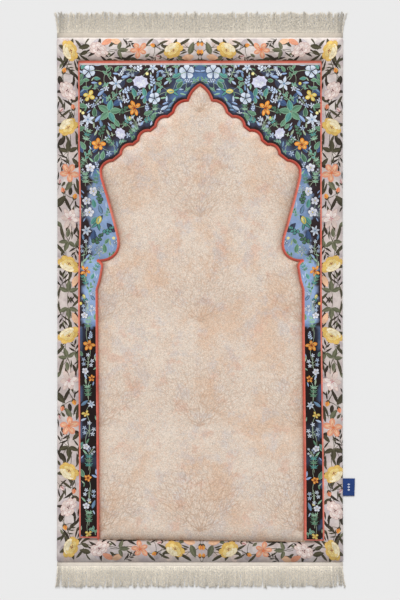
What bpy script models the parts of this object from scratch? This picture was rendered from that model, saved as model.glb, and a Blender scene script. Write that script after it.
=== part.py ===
"""Padded prayer rug with a scalloped niche, laid flat.

The rug is one filled mat: a printed face over thin padding, quilted through along two sewn
channels, the straight frame and the scalloped niche.  A fringe on a woven tape is sewn to each
end, and a folded woven tab is caught in the right-hand side seam.

Frame: metres, +Z up.  The origin is the centre of the mat's underside, +Y points to the head of
the rug, where the niche has its point, and +X points to the side that carries the tab.
"""

import math
import random

import bmesh
import bpy
import numpy as np
from mathutils import Vector
from mathutils.geometry import delaunay_2d_cdt

# ---------------------------------------------------------------- driving sizes
MAT_WIDTH = 0.655
MAT_LENGTH = 1.200
CORNER_RADIUS = 0.006
SIDE_DRAW_IN = 0.0015        # how far the quilting pulls the long sides in at mid-length

# Heights above the floor
RIM_HEIGHT = 0.0036          # the side wall, where the face is turned down to the underside
CHANNEL_HEIGHT = 0.0050      # the floor of a sewn channel
BORDER_CROWN = 0.0120
SPANDREL_CROWN = 0.0125
FIELD_CROWN = 0.0150

# How far from its channel or rim each panel takes to reach its full height
BORDER_REACH = 0.022
SPANDREL_REACH = 0.019
FIELD_REACH = 0.028
CROWN_POWER = 2.3            # how quickly the padding swells beside a channel

# Widths of the border, from the mat's edge to the frame channel
SIDE_BORDER = 0.0505
HEAD_BORDER = 0.0560
FOOT_BORDER = 0.0490

# The niche, as half of a symmetric outline
NICHE_POINT_Y = 0.4930
FIRST_CUSP = (0.0282, 0.4567)
SHOULDER = (0.2286, 0.2974)
POINT_LOBE_BULGE = 0.105     # height of an arc over its chord, as a share of the chord
LOBES = (                    # scallops from the first cusp to the shoulder
    # flat before, flat after (shares of a scallop), bulge of the arc between them
    (0.00, 0.16, 0.20),
    (0.16, 0.16, 0.24),
    (0.16, 0.16, 0.24),
    (0.16, 0.16, 0.24),
    (0.30, 0.00, 0.17),
)
SHOULDER_END = (0.2272, 0.2800)
WAIST = (0.1878, 0.1300)     # the narrowest place, where the slanted side ends
WAIST_POWER = 0.85           # below 1, the turn under the waist is fuller than a quarter ellipse
NECK_CUSP_X = 0.2350
NECK_CUSP_Y = 0.0895
NECK = (0.2256, 0.0690)
NECK_BULGE = -0.22
COLUMN_TOP = (0.2362, 0.0240)
COLUMN_TOP_BULGE = -0.03
COLUMN_X = 0.2352

# The sewn lines run a little out of true towards the foot of the rug
DRIFT_START_Y = 0.05
DRIFT_END_Y = -0.55
DRIFT_ACROSS = 0.0040
DRIFT_SPREAD = 0.0062        # extra drift per metre from the middle
DRIFT_TILT = 0.0126          # drop per metre across, at the foot

# They also swing to the right beside the slanted sides, all but the right-hand frame line
SWING = 0.0031
SWING_Y = 0.200
SWING_REACH = 0.095
SWING_EDGE = 0.045           # over this width the swing dies away towards the right-hand frame line

# Fineness of the face
NICHE_STEP = 0.0078
FRAME_STEP = 0.0170
EDGE_STEP = 0.0200
RING_OFFSETS = (0.0040, 0.0105)
FILL_STEP = 0.0230
UNDERSIDE_STEP = 0.0800

# Fringe
TAPE_DEPTH = 0.0110
TAPE_THICKNESS = 0.0022
LOCK_COUNT = 120
LOCK_LENGTH = 0.0480
LOCK_SEGMENTS = 3
LOCK_ROOT_SHARE = 0.74       # of the pitch
LOCK_TIP_WIDTH = 0.0024
LOCK_TIP_THICKNESS = 0.0013
LOCK_LENGTH_SPREAD = 0.0026
LOCK_LEAN_SPREAD = 0.0009    # sideways, at the tip
CORNER_FLARE = 0.0085        # sideways, at the tip of the outermost lock
FLARE_REACH = 0.020
SWAY = 0.0030                # slow sideways wave of the fringe, at the tips
SWAY_LENGTH = 0.170

# Tab: one woven strip folded in two
TAB_REACH = 0.0272
TAB_WIDTH = 0.0400
TAB_Y = -0.4290
TAB_PLY = 0.0006
TAB_FOLD_GAP = 0.0005
FOLD_STEPS = 5

SEAM_GAP = 0.0003            # clearance between two pieces that are sewn together


# ---------------------------------------------------------------- outlines
def arc(start, end, bulge, steps):
    """Points after start, up to end, on an arc that bows to the left of the way it runs."""
    a, b = np.array(start), np.array(end)
    chord = b - a
    length = np.linalg.norm(chord)
    rise = bulge * length
    radius = (length / 2) ** 2 / (2 * rise) + rise / 2
    left = np.array((-chord[1], chord[0])) / length
    centre = (a + b) / 2 - left * (radius - rise)
    half_angle = math.asin(length / 2 / radius)
    middle = math.atan2(left[1], left[0])
    angles = [middle + half_angle * (1 - 2 * k / steps) for k in range(1, steps + 1)]
    return [tuple(centre + radius * np.array((math.cos(t), math.sin(t)))) for t in angles]


def niche_half():
    """The right half of the niche, from its point down to the foot channel."""
    points = [(0.0, NICHE_POINT_Y)]
    points += arc(points[-1], FIRST_CUSP, POINT_LOBE_BULGE, 6)
    first, run = np.array(FIRST_CUSP), np.array(SHOULDER) - np.array(FIRST_CUSP)
    for lobe, (flat_before, flat_after, bulge) in enumerate(LOBES):
        start = tuple(first + run * (lobe + flat_before) / len(LOBES))
        end = tuple(first + run * (lobe + 1 - flat_after) / len(LOBES))
        if flat_before > 0:
            points.append(start)
        points += arc(start, end, bulge, 7)
    points.append(SHOULDER_END)
    points.append((WAIST[0] + 0.0014, WAIST[1] + 0.0110))
    across, drop = NECK_CUSP_X - WAIST[0], WAIST[1] - NECK_CUSP_Y
    quarter = 9
    for k in range(quarter + 1):
        t = math.pi / 2 * k / quarter
        x = NECK_CUSP_X - across * abs(math.cos(t)) ** WAIST_POWER
        points.append((x, WAIST[1] - drop * math.sin(t) ** WAIST_POWER))
    points += arc(points[-1], NECK, NECK_BULGE, 4)
    points += arc(points[-1], COLUMN_TOP, COLUMN_TOP_BULGE, 5)
    points.append((COLUMN_X, FOOT_CHANNEL_Y))
    return points


FOOT_CHANNEL_Y = -MAT_LENGTH / 2 + FOOT_BORDER
HEAD_CHANNEL_Y = MAT_LENGTH / 2 - HEAD_BORDER
SIDE_CHANNEL_X = MAT_WIDTH / 2 - SIDE_BORDER


def resampled(points, step, closed=False):
    """Points along a line at about the step, with every corner kept."""
    ends = points[1:] + points[:1] if closed else points[1:]
    out = []
    for a, b in zip(points, ends):
        count = max(1, round(math.dist(a, b) / step))
        out += [tuple(np.array(a) + (np.array(b) - np.array(a)) * k / count) for k in range(count)]
    return out if closed else out + [points[-1]]


def drifted(points):
    """The points as sewn, out of true towards the foot of the rug and beside the slanted sides."""
    out = []
    for x, y in points:
        t = min(1.0, max(0.0, (DRIFT_START_Y - y) / (DRIFT_START_Y - DRIFT_END_Y)))
        share = t * t * (3 - 2 * t)
        inward = min(1.0, max(0.0, (SIDE_CHANNEL_X - x) / SWING_EDGE))
        swing = SWING * math.exp(-(((y - SWING_Y) / SWING_REACH) ** 2)) * inward
        across = share * (DRIFT_ACROSS + DRIFT_SPREAD * x) + swing
        out.append((x + across, y - share * DRIFT_TILT * x))
    return out


def niche_line():
    """The whole sewn line of the niche, from the left foot over the point to the right foot."""
    right = resampled(niche_half(), NICHE_STEP)
    left = [(-x, y) for x, y in reversed(right)]
    return drifted(left[:-1] + right)


def frame_line():
    """The sewn line of the frame, closed, with the feet of the niche line on its lower side."""
    niche = niche_line()
    head = [(-SIDE_CHANNEL_X, HEAD_CHANNEL_Y), (SIDE_CHANNEL_X, HEAD_CHANNEL_Y)]
    right_foot = drifted([(SIDE_CHANNEL_X, FOOT_CHANNEL_Y)])[0]
    left_foot = drifted([(-SIDE_CHANNEL_X, FOOT_CHANNEL_Y)])[0]
    sides = [
        drifted(resampled([head[1], (SIDE_CHANNEL_X, FOOT_CHANNEL_Y)], FRAME_STEP)),
        drifted(resampled([(-SIDE_CHANNEL_X, FOOT_CHANNEL_Y), head[0]], FRAME_STEP)),
    ]
    foot = resampled([right_foot, niche[-1], niche[0], left_foot], FRAME_STEP)
    return resampled(head, FRAME_STEP)[:-1] + sides[0][:-1] + foot[:-1] + sides[1][:-1]


def edge_line():
    """The mat's outline, closed, with rounded corners and slightly drawn-in sides."""
    half_width, half_length = MAT_WIDTH / 2, MAT_LENGTH / 2
    inset = CORNER_RADIUS * (1 - math.sqrt(0.5))
    corner = [
        (half_width, half_length - CORNER_RADIUS),
        (half_width - inset, half_length - inset),
        (half_width - CORNER_RADIUS, half_length),
    ]
    outline = corner + [(-x, y) for x, y in reversed(corner)]
    outline += [(-x, -y) for x, y in corner] + [(x, -y) for x, y in reversed(corner)]
    out = []
    for x, y in resampled(outline, EDGE_STEP, closed=True):
        pull = SIDE_DRAW_IN * (1 - (y / half_length) ** 4) if abs(y) < half_length else 0.0
        out.append((x - math.copysign(pull, x) * (abs(x) / half_width) ** 8, y))
    return out


# ---------------------------------------------------------------- the quilted face
def distance_to(points, line, closed):
    """The distance of each point from a line of short straight runs."""
    a = np.array(line)
    b = np.roll(a, -1, axis=0)
    if not closed:
        a, b = a[:-1], b[:-1]
    run = b - a
    away = points[:, None, :] - a[None, :, :]
    share = np.clip((away * run).sum(2) / (run * run).sum(1), 0, 1)
    return np.linalg.norm(away - share[..., None] * run, axis=2).min(1)


def inside(points, ring):
    """Which points lie inside a closed ring."""
    hit = np.zeros(len(points), bool)
    for (ax, ay), (bx, by) in zip(ring, ring[1:] + ring[:1]):
        spans = (ay > points[:, 1]) != (by > points[:, 1])
        if spans.any():
            cut = ax + (points[:, 1] - ay) * (bx - ax) / ((by - ay) or 1.0)
            hit ^= spans & (points[:, 0] < cut)
    return hit


def face_heights(points, edge, frame, niche):
    """The padded face's height above the floor at each point."""
    to_edge = distance_to(points, edge, True)
    to_frame = distance_to(points, frame, True)
    to_niche = distance_to(points, niche, False)
    in_frame = inside(points, frame)
    in_niche = inside(points, niche)

    def swell(distance, reach):
        return 1 - (1 - np.clip(distance / reach, 0, 1)) ** CROWN_POWER

    from_rim = RIM_HEIGHT + (BORDER_CROWN - RIM_HEIGHT) * swell(to_edge, BORDER_REACH)
    from_frame = CHANNEL_HEIGHT + (BORDER_CROWN - CHANNEL_HEIGHT) * swell(to_frame, BORDER_REACH)
    border = np.minimum(from_rim, from_frame)
    to_seam = np.minimum(to_frame, to_niche)
    spandrel = CHANNEL_HEIGHT + (SPANDREL_CROWN - CHANNEL_HEIGHT) * swell(to_seam, SPANDREL_REACH)
    field = CHANNEL_HEIGHT + (FIELD_CROWN - CHANNEL_HEIGHT) * swell(to_seam, FIELD_REACH)
    return np.where(in_niche, field, np.where(in_frame, spandrel, border))


def beside(line, closed, offsets):
    """Loose points in rows on both sides of a line, kept clear of the line's own bends."""
    a = np.array(line)
    ahead = np.roll(a, -1, axis=0) - np.roll(a, 1, axis=0)
    if not closed:
        ahead[0], ahead[-1] = a[1] - a[0], a[-1] - a[-2]
    normal = np.stack((-ahead[:, 1], ahead[:, 0]), 1)
    normal /= np.linalg.norm(normal, axis=1)[:, None]
    rows = [a + side * offset * normal for offset in offsets for side in (-1, 1)]
    sizes = [np.full(len(a), offset) for offset in offsets for _ in (-1, 1)]
    return np.concatenate(rows), np.concatenate(sizes)


def thinned(points, least):
    """The points in their order, less each one that comes too near an earlier one."""
    kept = []
    for x, y in points:
        if all((x - u) ** 2 + (y - v) ** 2 > least**2 for u, v in kept[-400:]):
            kept.append((x, y))
    return kept


def fill_grid(half_width, half_length, step):
    """A staggered grid over the mat."""
    rows = int(half_length / step)
    columns = int(half_width / step)
    return np.array([
        ((i + 0.5 * (j % 2)) * step, j * step)
        for j in range(-rows, rows + 1)
        for i in range(-columns, columns + 1)
    ])


def face_points(edge, frame, niche):
    """The loose points between the sewn lines: rows beside each line, and a grid."""
    chosen = []
    for line, closed in ((niche, False), (frame, True), (edge, True)):
        rows, offsets = beside(line, closed, RING_OFFSETS)
        near = np.minimum(distance_to(rows, niche, False), distance_to(rows, frame, True))
        near = np.minimum(near, distance_to(rows, edge, True))
        chosen.append(rows[(near > 0.9 * offsets) & inside(rows, edge)])
    grid = fill_grid(MAT_WIDTH / 2, MAT_LENGTH / 2, FILL_STEP)
    near = np.minimum(distance_to(grid, niche, False), distance_to(grid, frame, True))
    near = np.minimum(near, distance_to(grid, edge, True))
    chosen.append(grid[(near > RING_OFFSETS[-1] + 0.006) & inside(grid, edge)])
    return thinned(np.concatenate(chosen), RING_OFFSETS[0] * 0.9)


def triangulated(rings, loose, inner_lines):
    """Triangles over the area inside the first ring, with every line kept as edges."""
    points, edges = [], []
    for line, closed in [(r, True) for r in rings] + [(line, False) for line in inner_lines]:
        first = len(points)
        points += line
        count = len(line)
        edges += [(first + k, first + k + 1) for k in range(count - 1)]
        if closed:
            edges.append((first + count - 1, first))
    points += [tuple(p) for p in loose]
    made = delaunay_2d_cdt([Vector(p) for p in points], edges, [], 1, 1e-6)
    return [tuple(v) for v in made[0]], made[2]


def add_surface(bm, flat, faces, heights, downwards):
    """Adds a triangulated surface to the mesh and returns its vertices."""
    verts = [bm.verts.new((x, y, z)) for (x, y), z in zip(flat, heights)]
    for face in faces:
        corners = [verts[k] for k in face]
        bm.faces.new(corners[::-1] if downwards else corners)
    return verts


def build_mat(name, look, collection):
    """The filled mat: quilted face, side wall and flat underside, closed."""
    edge, frame, niche = edge_line(), frame_line(), niche_line()
    flat, faces = triangulated([edge, frame], face_points(edge, frame, niche), [niche])
    heights = face_heights(np.array(flat), edge, frame, niche)
    bm = bmesh.new()
    add_surface(bm, flat, faces, heights, downwards=False)
    rim = [e for e in bm.edges if e.is_boundary]
    wall = bmesh.ops.extrude_edge_only(bm, edges=rim)["geom"]
    for v in wall:
        if isinstance(v, bmesh.types.BMVert):
            v.co.z = 0.0
    grid = fill_grid(MAT_WIDTH / 2, MAT_LENGTH / 2, UNDERSIDE_STEP)
    under = grid[inside(grid, edge) & (distance_to(grid, edge, True) > EDGE_STEP)]
    flat, faces = triangulated([edge], under, [])
    add_surface(bm, flat, faces, [0.0] * len(flat), downwards=True)
    bmesh.ops.remove_doubles(bm, verts=bm.verts, dist=1e-6)
    bmesh.ops.recalc_face_normals(bm, faces=bm.faces)
    mat = mesh_object(name, bm, look, collection)
    mat.data.shade_smooth()
    mat.data.set_sharp_from_angle(angle=math.radians(50))
    return mat


# ---------------------------------------------------------------- fringe
def lock_bends(rng):
    """For each lock, how far its tip stands sideways and how long it is."""
    pitch = MAT_WIDTH / LOCK_COUNT
    bends = []
    for i in range(LOCK_COUNT):
        x = (i + 0.5) * pitch - MAT_WIDTH / 2
        from_corner = MAT_WIDTH / 2 - abs(x)
        flare = math.copysign(CORNER_FLARE * math.exp(-from_corner / FLARE_REACH), x)
        sway = SWAY * math.sin(2 * math.pi * x / SWAY_LENGTH + 1.0)
        side = flare + sway + rng.uniform(-LOCK_LEAN_SPREAD, LOCK_LEAN_SPREAD)
        length = LOCK_LENGTH + rng.uniform(-LOCK_LENGTH_SPREAD, LOCK_LENGTH_SPREAD)
        bends.append((side, length))
    return bends


def build_fringe(name, look, collection, way, seed):
    """A woven tape with a row of separate locks; way is 1 at the head and -1 at the foot."""
    bm = bmesh.new()
    columns = 2 * LOCK_COUNT + 1
    bmesh.ops.create_grid(bm, x_segments=columns, y_segments=1, size=0.5)
    pitch = MAT_WIDTH / LOCK_COUNT
    gap = pitch * (1 - LOCK_ROOT_SHARE)
    tape_near = MAT_LENGTH / 2 + SEAM_GAP
    tape_far = MAT_LENGTH / 2 + TAPE_DEPTH
    for v in bm.verts:
        column = round((v.co.x + 0.5) * columns)
        lock, side = divmod(column, 2)
        x = lock * pitch + (gap / 2 if side else -gap / 2) - MAT_WIDTH / 2
        v.co.x = min(MAT_WIDTH / 2, max(-MAT_WIDTH / 2, x))
        v.co.y = tape_far if v.co.y > 0 else tape_near
    bmesh.ops.recalc_face_normals(bm, faces=bm.faces)
    lifted = bmesh.ops.extrude_face_region(bm, geom=list(bm.faces))["geom"]
    for v in lifted:
        if isinstance(v, bmesh.types.BMVert):
            v.co.z = TAPE_THICKNESS
    bmesh.ops.recalc_face_normals(bm, faces=bm.faces)
    bm.normal_update()
    outer = [f for f in bm.faces if f.normal.y > 0.9]
    outer.sort(key=lambda f: f.calc_center_median().x)
    roots = outer[1::2]
    centres = [f.calc_center_median().x for f in roots]
    bends = lock_bends(random.Random(seed))
    root_width = pitch * LOCK_ROOT_SHARE
    tips = roots
    for k in range(1, LOCK_SEGMENTS + 1):
        share = k / LOCK_SEGMENTS
        tips = bmesh.ops.extrude_discrete_faces(bm, faces=tips)["faces"]
        tips.sort(key=lambda f: f.calc_center_median().x)
        width = root_width + (LOCK_TIP_WIDTH - root_width) * share
        thickness = TAPE_THICKNESS + (LOCK_TIP_THICKNESS - TAPE_THICKNESS) * share
        for tip, centre, (side, length) in zip(tips, centres, bends):
            middle = tip.calc_center_median().x
            for v in tip.verts:
                v.co.x = centre + side * share**1.6 + math.copysign(width / 2, v.co.x - middle)
                v.co.y = tape_far + length * share
                v.co.z = thickness if v.co.z > 1e-5 else 0.0
    if way < 0:
        for v in bm.verts:
            v.co.y = -v.co.y
    bmesh.ops.recalc_face_normals(bm, faces=bm.faces)
    return mesh_object(name, bm, look, collection)


# ---------------------------------------------------------------- tab
def tab_section():
    """The folded strip in section: x outwards, y up, from its raw end round the fold and back."""
    outer = TAB_PLY + TAB_FOLD_GAP / 2
    inner = TAB_FOLD_GAP / 2
    fold_x = TAB_REACH - outer
    turn = [math.pi / 2 - math.pi * k / FOLD_STEPS for k in range(FOLD_STEPS + 1)]
    out = [(0.0, 2 * outer)]
    out += [(fold_x + outer * math.cos(t), outer + outer * math.sin(t)) for t in turn]
    out += [(0.0, 0.0), (0.0, TAB_PLY)]
    out += [(fold_x + inner * math.cos(t), outer + inner * math.sin(t)) for t in reversed(turn)]
    out.append((0.0, TAB_PLY + TAB_FOLD_GAP))
    return out


def build_tab(name, look, collection):
    """The folded woven tab on the right-hand side, drawn as its section and given its width."""
    curve = bpy.data.curves.new(name, "CURVE")
    curve.dimensions = "2D"
    curve.fill_mode = "BOTH"
    curve.extrude = TAB_WIDTH / 2
    spline = curve.splines.new("POLY")
    section = tab_section()
    spline.points.add(len(section) - 1)
    for point, (x, y) in zip(spline.points, section):
        point.co = (x, y, 0.0, 1.0)
    spline.use_cyclic_u = True
    curve.materials.append(look)
    tab = bpy.data.objects.new(name, curve)
    pull = SIDE_DRAW_IN * (1 - (TAB_Y / (MAT_LENGTH / 2)) ** 4)
    tab.rotation_euler = (math.pi / 2, 0.0, 0.0)
    tab.location = (MAT_WIDTH / 2 - pull + 2 * SEAM_GAP, TAB_Y, 0.0)
    collection.objects.link(tab)
    return tab


# ---------------------------------------------------------------- objects and materials
def mesh_object(name, bm, look, collection):
    """Makes a named object of a finished mesh."""
    mesh = bpy.data.meshes.new(name)
    bm.to_mesh(mesh)
    bm.free()
    mesh.materials.append(look)
    made = bpy.data.objects.new(name, mesh)
    collection.objects.link(made)
    return made


def material(name, colour, roughness):
    """A plain cloth material."""
    made = bpy.data.materials.new(name)
    made.use_nodes = True
    shader = made.node_tree.nodes["Principled BSDF"]
    shader.inputs["Base Color"].default_value = (*colour, 1.0)
    shader.inputs["Roughness"].default_value = roughness
    shader.inputs["Metallic"].default_value = 0.0
    return made


def main():
    for thing in list(bpy.data.objects):
        bpy.data.objects.remove(thing)
    parts = bpy.data.collections.new("prayer_rug")
    bpy.context.scene.collection.children.link(parts)
    face = material("printed velour", (0.68, 0.56, 0.47), 0.85)
    linen = material("unbleached linen yarn", (0.58, 0.52, 0.44), 0.90)
    damask = material("navy woven label cloth", (0.02, 0.06, 0.20), 0.70)
    build_mat("mat", face, parts)
    build_fringe("fringe_head", linen, parts, way=1, seed=11)
    build_fringe("fringe_foot", linen, parts, way=-1, seed=23)
    build_tab("side_tab", damask, parts)


main()
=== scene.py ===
import math
import random

import bpy
import numpy as np
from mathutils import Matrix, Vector
from mathutils.geometry import delaunay_2d_cdt


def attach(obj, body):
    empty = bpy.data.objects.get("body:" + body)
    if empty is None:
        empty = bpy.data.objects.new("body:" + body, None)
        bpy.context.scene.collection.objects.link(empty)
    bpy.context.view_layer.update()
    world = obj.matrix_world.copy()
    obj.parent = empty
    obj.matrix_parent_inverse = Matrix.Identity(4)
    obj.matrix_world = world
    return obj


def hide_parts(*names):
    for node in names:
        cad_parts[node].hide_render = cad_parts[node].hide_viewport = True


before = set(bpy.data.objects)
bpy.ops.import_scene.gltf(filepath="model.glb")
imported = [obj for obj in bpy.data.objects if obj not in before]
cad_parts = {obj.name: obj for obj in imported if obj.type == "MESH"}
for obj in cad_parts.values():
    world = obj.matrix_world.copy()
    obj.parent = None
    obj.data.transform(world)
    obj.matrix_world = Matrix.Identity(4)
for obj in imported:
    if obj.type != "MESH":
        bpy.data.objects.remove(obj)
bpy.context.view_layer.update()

print("rug: the solid frame is loaded")

# A padded prayer rug: one printed velour face quilted over padding, with a fringe on a woven tape
# at each end and a folded tab at one side.  The print is laid out in millimetres from the mat's
# centre, +y towards the head, and becomes metres when the mesh is made.

# sizes of the mat in millimetres, from its centre
mat = {
    "width": 655.0, "length": 1200.0, "corner": 6.0, "drawIn": 1.5,
    "sideBorder": 50.5, "headBorder": 56.0, "footBorder": 49.0, "paleStrip": (7.4, 1.8),
    "pointY": 492.4, "firstCusp": (27.8, 456.0), "shoulder": (228.1, 296.7), "pointBulge": 0.105,
    # each scallop: the flat before it, the flat after it, how round it is
    "lobes": ((0.0, 0.16, 0.20), (0.16, 0.16, 0.24), (0.16, 0.16, 0.24), (0.16, 0.16, 0.24),
              (0.30, 0.0, 0.17)),
    "shoulderEnd": (227.2, 280.0), "waist": (187.8, 130.0), "waistEase": (1.4, 11.0), "waistFull": 0.85,
    "neckCusp": (235.0, 89.5), "neck": (225.6, 69.0), "neckBulge": -0.22,
    "columnTop": (236.2, 24.0), "columnBulge": -0.03, "columnX": 235.2,
    "swayAt": 200.0, "swayReach": 95.0, "sway": 3.1, "swayEdge": 45.0,
    "driftFrom": 50.0, "driftTo": -550.0, "driftAcross": 4.0, "driftSpread": 0.0062, "driftTilt": 0.0126,
}
sideLine = mat["width"] / 2 - mat["sideBorder"]
headLine = mat["length"] / 2 - mat["headBorder"]
footLine = -mat["length"] / 2 + mat["footBorder"]


def arcTo(start, end, bulge, steps):
    a, b = np.array(start), np.array(end)
    chord = b - a
    length = np.linalg.norm(chord)
    rise = bulge * length
    radius = (length / 2) ** 2 / (2 * rise) + rise / 2
    left = np.array((-chord[1], chord[0])) / length
    centre = (a + b) / 2 - left * (radius - rise)
    half = math.asin(length / 2 / radius)
    middle = math.atan2(left[1], left[0])
    angles = [middle + half * (1 - 2 * k / steps) for k in range(1, steps + 1)]
    return [tuple(centre + radius * np.array((math.cos(t), math.sin(t)))) for t in angles]


def nicheHalf():
    points = [(0.0, mat["pointY"])]
    points += arcTo(points[-1], mat["firstCusp"], mat["pointBulge"], 10)
    first, shoulder = np.array(mat["firstCusp"]), np.array(mat["shoulder"])
    for lobe, (flatBefore, flatAfter, bulge) in enumerate(mat["lobes"]):     # a lobe between short flats
        shares = (lobe + flatBefore, lobe + 1 - flatAfter)
        start, end = [tuple(first + (shoulder - first) * share / len(mat["lobes"])) for share in shares]
        points += [start] * (flatBefore > 0) + arcTo(start, end, bulge, 11)
    (wx, wy), (nx, ny) = mat["waist"], mat["neckCusp"]
    points += [mat["shoulderEnd"], (wx + mat["waistEase"][0], wy + mat["waistEase"][1])]
    for k in range(15):
        t = math.pi / 2 * k / 14
        points.append((nx - (nx - wx) * abs(math.cos(t)) ** mat["waistFull"],
                       wy - (wy - ny) * math.sin(t) ** mat["waistFull"]))
    points += arcTo(points[-1], mat["neck"], mat["neckBulge"], 7)
    points += arcTo(points[-1], mat["columnTop"], mat["columnBulge"], 8)
    points.append((mat["columnX"], footLine))
    return points


def resampled(points, step, closed=False):
    ends = points[1:] + points[:1] if closed else points[1:]
    out = []
    for a, b in zip(points, ends):
        count = max(1, round(math.dist(a, b) / step))
        out += [(a[0] + (b[0] - a[0]) * k / count, a[1] + (b[1] - a[1]) * k / count) for k in range(count)]
    return out if closed else out + [points[-1]]


def drifted(points):          # the print and the sewing both run a little out of true towards the foot
    p = np.array(points, float)
    t = np.clip((mat["driftFrom"] - p[:, 1]) / (mat["driftFrom"] - mat["driftTo"]), 0, 1)
    share = t * t * (3 - 2 * t)
    out = p.copy()
    out[:, 0] += share * (mat["driftAcross"] + mat["driftSpread"] * p[:, 0])
    bump = np.exp(-((p[:, 1] - mat["swayAt"]) / mat["swayReach"]) ** 2)
    out[:, 0] += mat["sway"] * bump * np.clip((sideLine - p[:, 0]) / mat["swayEdge"], 0, 1)
    out[:, 1] -= share * mat["driftTilt"] * p[:, 0]
    return out


def inside(points, ring):
    hit = np.zeros(len(points), bool)
    ring = np.asarray(ring)
    for (ax, ay), (bx, by) in zip(ring, np.roll(ring, -1, axis=0)):
        if ay == by:
            continue
        spans = (ay > points[:, 1]) != (by > points[:, 1])
        hit ^= spans & (points[:, 0] < ax + (points[:, 1] - ay) * (bx - ax) / (by - ay))
    return hit


def farFrom(points, line, closed=False):   # distance of each point from a line of short runs
    a = np.asarray(line, float)
    b = np.roll(a, -1, axis=0)
    if not closed:
        a, b = a[:-1], b[:-1]
    best = np.full(len(points), 1e9)
    for (ax, ay), (bx, by) in zip(a, b):
        rx, ry = bx - ax, by - ay
        t = np.clip(((points[:, 0] - ax) * rx + (points[:, 1] - ay) * ry) / (rx * rx + ry * ry), 0, 1)
        gap = (points[:, 0] - ax - t * rx) ** 2 + (points[:, 1] - ay - t * ry) ** 2
        np.minimum(best, gap, out=best)
    return np.sqrt(best)


def cloud(x, y, size, seed):     # soft random hills from -1 to 1
    rng = random.Random(seed)
    total = 0.0
    for octave in range(6):
        angle, phase = rng.uniform(0, math.pi), rng.uniform(0, 2 * math.pi)
        wave = 2 * math.pi / (size * rng.uniform(0.7, 1.6))
        along, across = x * math.cos(angle) + y * math.sin(angle), y * math.cos(angle) - x * math.sin(angle)
        total = total + np.sin(along * wave + phase + 1.3 * np.sin(across * wave * 0.8 + octave))
    return total / 3.4


# the print's colours
tones = {
    "cream": "e4dad5", "mauve": "c4b7b8", "sand": "cfbfb8", "hem": "e3dbd4", "ghost": "d6cccf",
    "blush": "e6d2c8", "olive": "4c4735", "sage": "6a6b54", "dusk": "383026", "twig": "5a5544",
    "butter": "f1d88f", "cornRim": "cf9f55", "amberRim": "d79a58", "primrose": "faedc8", "corn": "eac46c",
    "russet": "9c4c37", "shell": "ecd9d0", "petalRim": "c4888a", "rosette": "c98188", "pearl": "faece5",
    "wine": "6e2836", "rose": "cf7f86", "peach": "eea585", "apricot": "f6c8a4", "coral": "e07a50",
    "amber": "f0b04c", "flame": "e5804c",
    "plum": "312426", "damson": "201110", "ink": "3a4156", "navy": "3f5478", "denim": "56739d",
    "sky": "93acd3", "steel": "6e8dab", "ice": "d8e2ef", "frost": "b4c6df", "white": "eef0f8",
    "lilac": "d3d3ea", "lilacRim": "9fa5cc", "fern": "628a70", "mint": "92b89d", "teal": "55908a",
    "reed": "a3b59b", "moss": "4b6f58", "lemon": "e4d06a", "straw": "f3e8a4", "orange": "ee9a3e",
    "marmalade": "f8bd6c", "spice": "8c3a22", "red": "d94c3d", "salmon": "e18372",
}

shapes = []                   # every printed shape, in the order in which it is laid
dice = random.Random(8)
fullTurn = 2 * math.pi


def spotAt(x, y, far, a):     # the point that lies far from x, y in the direction a
    return x + far * math.cos(a), y + far * math.sin(a)


def onCurve(ends, t):         # a point on the curve from the first to the last, pulled by the middle one
    return [(1 - t) ** 2 * a + 2 * t * (1 - t) * b + t * t * c for a, b, c in zip(*ends)]


def spun(line, a):
    c, s = math.cos(a), math.sin(a)
    return line @ np.array(((c, s), (-s, c)))


def petalLine(length, width, widest=0.6, blunt=0.5, bend=0.0, steps=6):
    t = (1 - np.cos(np.pi * np.arange(steps + 1) / steps)) / 2
    half = width / 2 * np.clip(np.sin(np.pi * t ** (math.log(0.5) / math.log(widest))), 0, 1) ** blunt
    curve = bend * length * t * t
    there = np.stack((t * length, curve + half), 1)
    back = np.stack((t * length, curve - half), 1)[1:-1][::-1]
    return np.concatenate((there, back))


def ruffle(radius, lobes, depth, squash=1.0, steps=3):
    t = 2 * np.pi * np.arange(lobes * steps) / (lobes * steps)
    r = radius * (1 + depth * np.cos(lobes * t))
    return np.stack((r * np.cos(t), r * squash * np.sin(t)), 1)


def lay(zone, outline, tone, x, y, turn=0.0, kind=0, reach=(10, 5), off=0.0):
    shapes.append({
        "zone": zone, "outline": spun(outline + (off, 0.0), turn) + (x, y), "tone": tone, "kind": kind,
        "place": (x, y, turn, *reach), "shade": dice.uniform(0.93, 1.06),
    })


def petal(zone, x, y, turn, length, width, tone, rim=None, edge=0.9, off=0.0, **form):
    size = (length, width / 2)
    if rim:
        lay(zone, petalLine(length + edge, width + 2 * edge, **form), rim, x, y, turn, 1, size, off)
    lay(zone, petalLine(length, width, **form), tone, x, y, turn, 1, size, off)


def leaf(zone, x, y, turn, length, width, tone, rim=None, **form):
    form = {"widest": 0.42, "blunt": 0.85, **form}
    if rim:
        lay(zone, petalLine(length + 1.6, width + 2.2, **form), rim, x, y, turn, 0, (length, width / 2), -0.8)
    lay(zone, petalLine(length, width, **form), tone, x, y, turn, 2, (length, width / 2))


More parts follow.
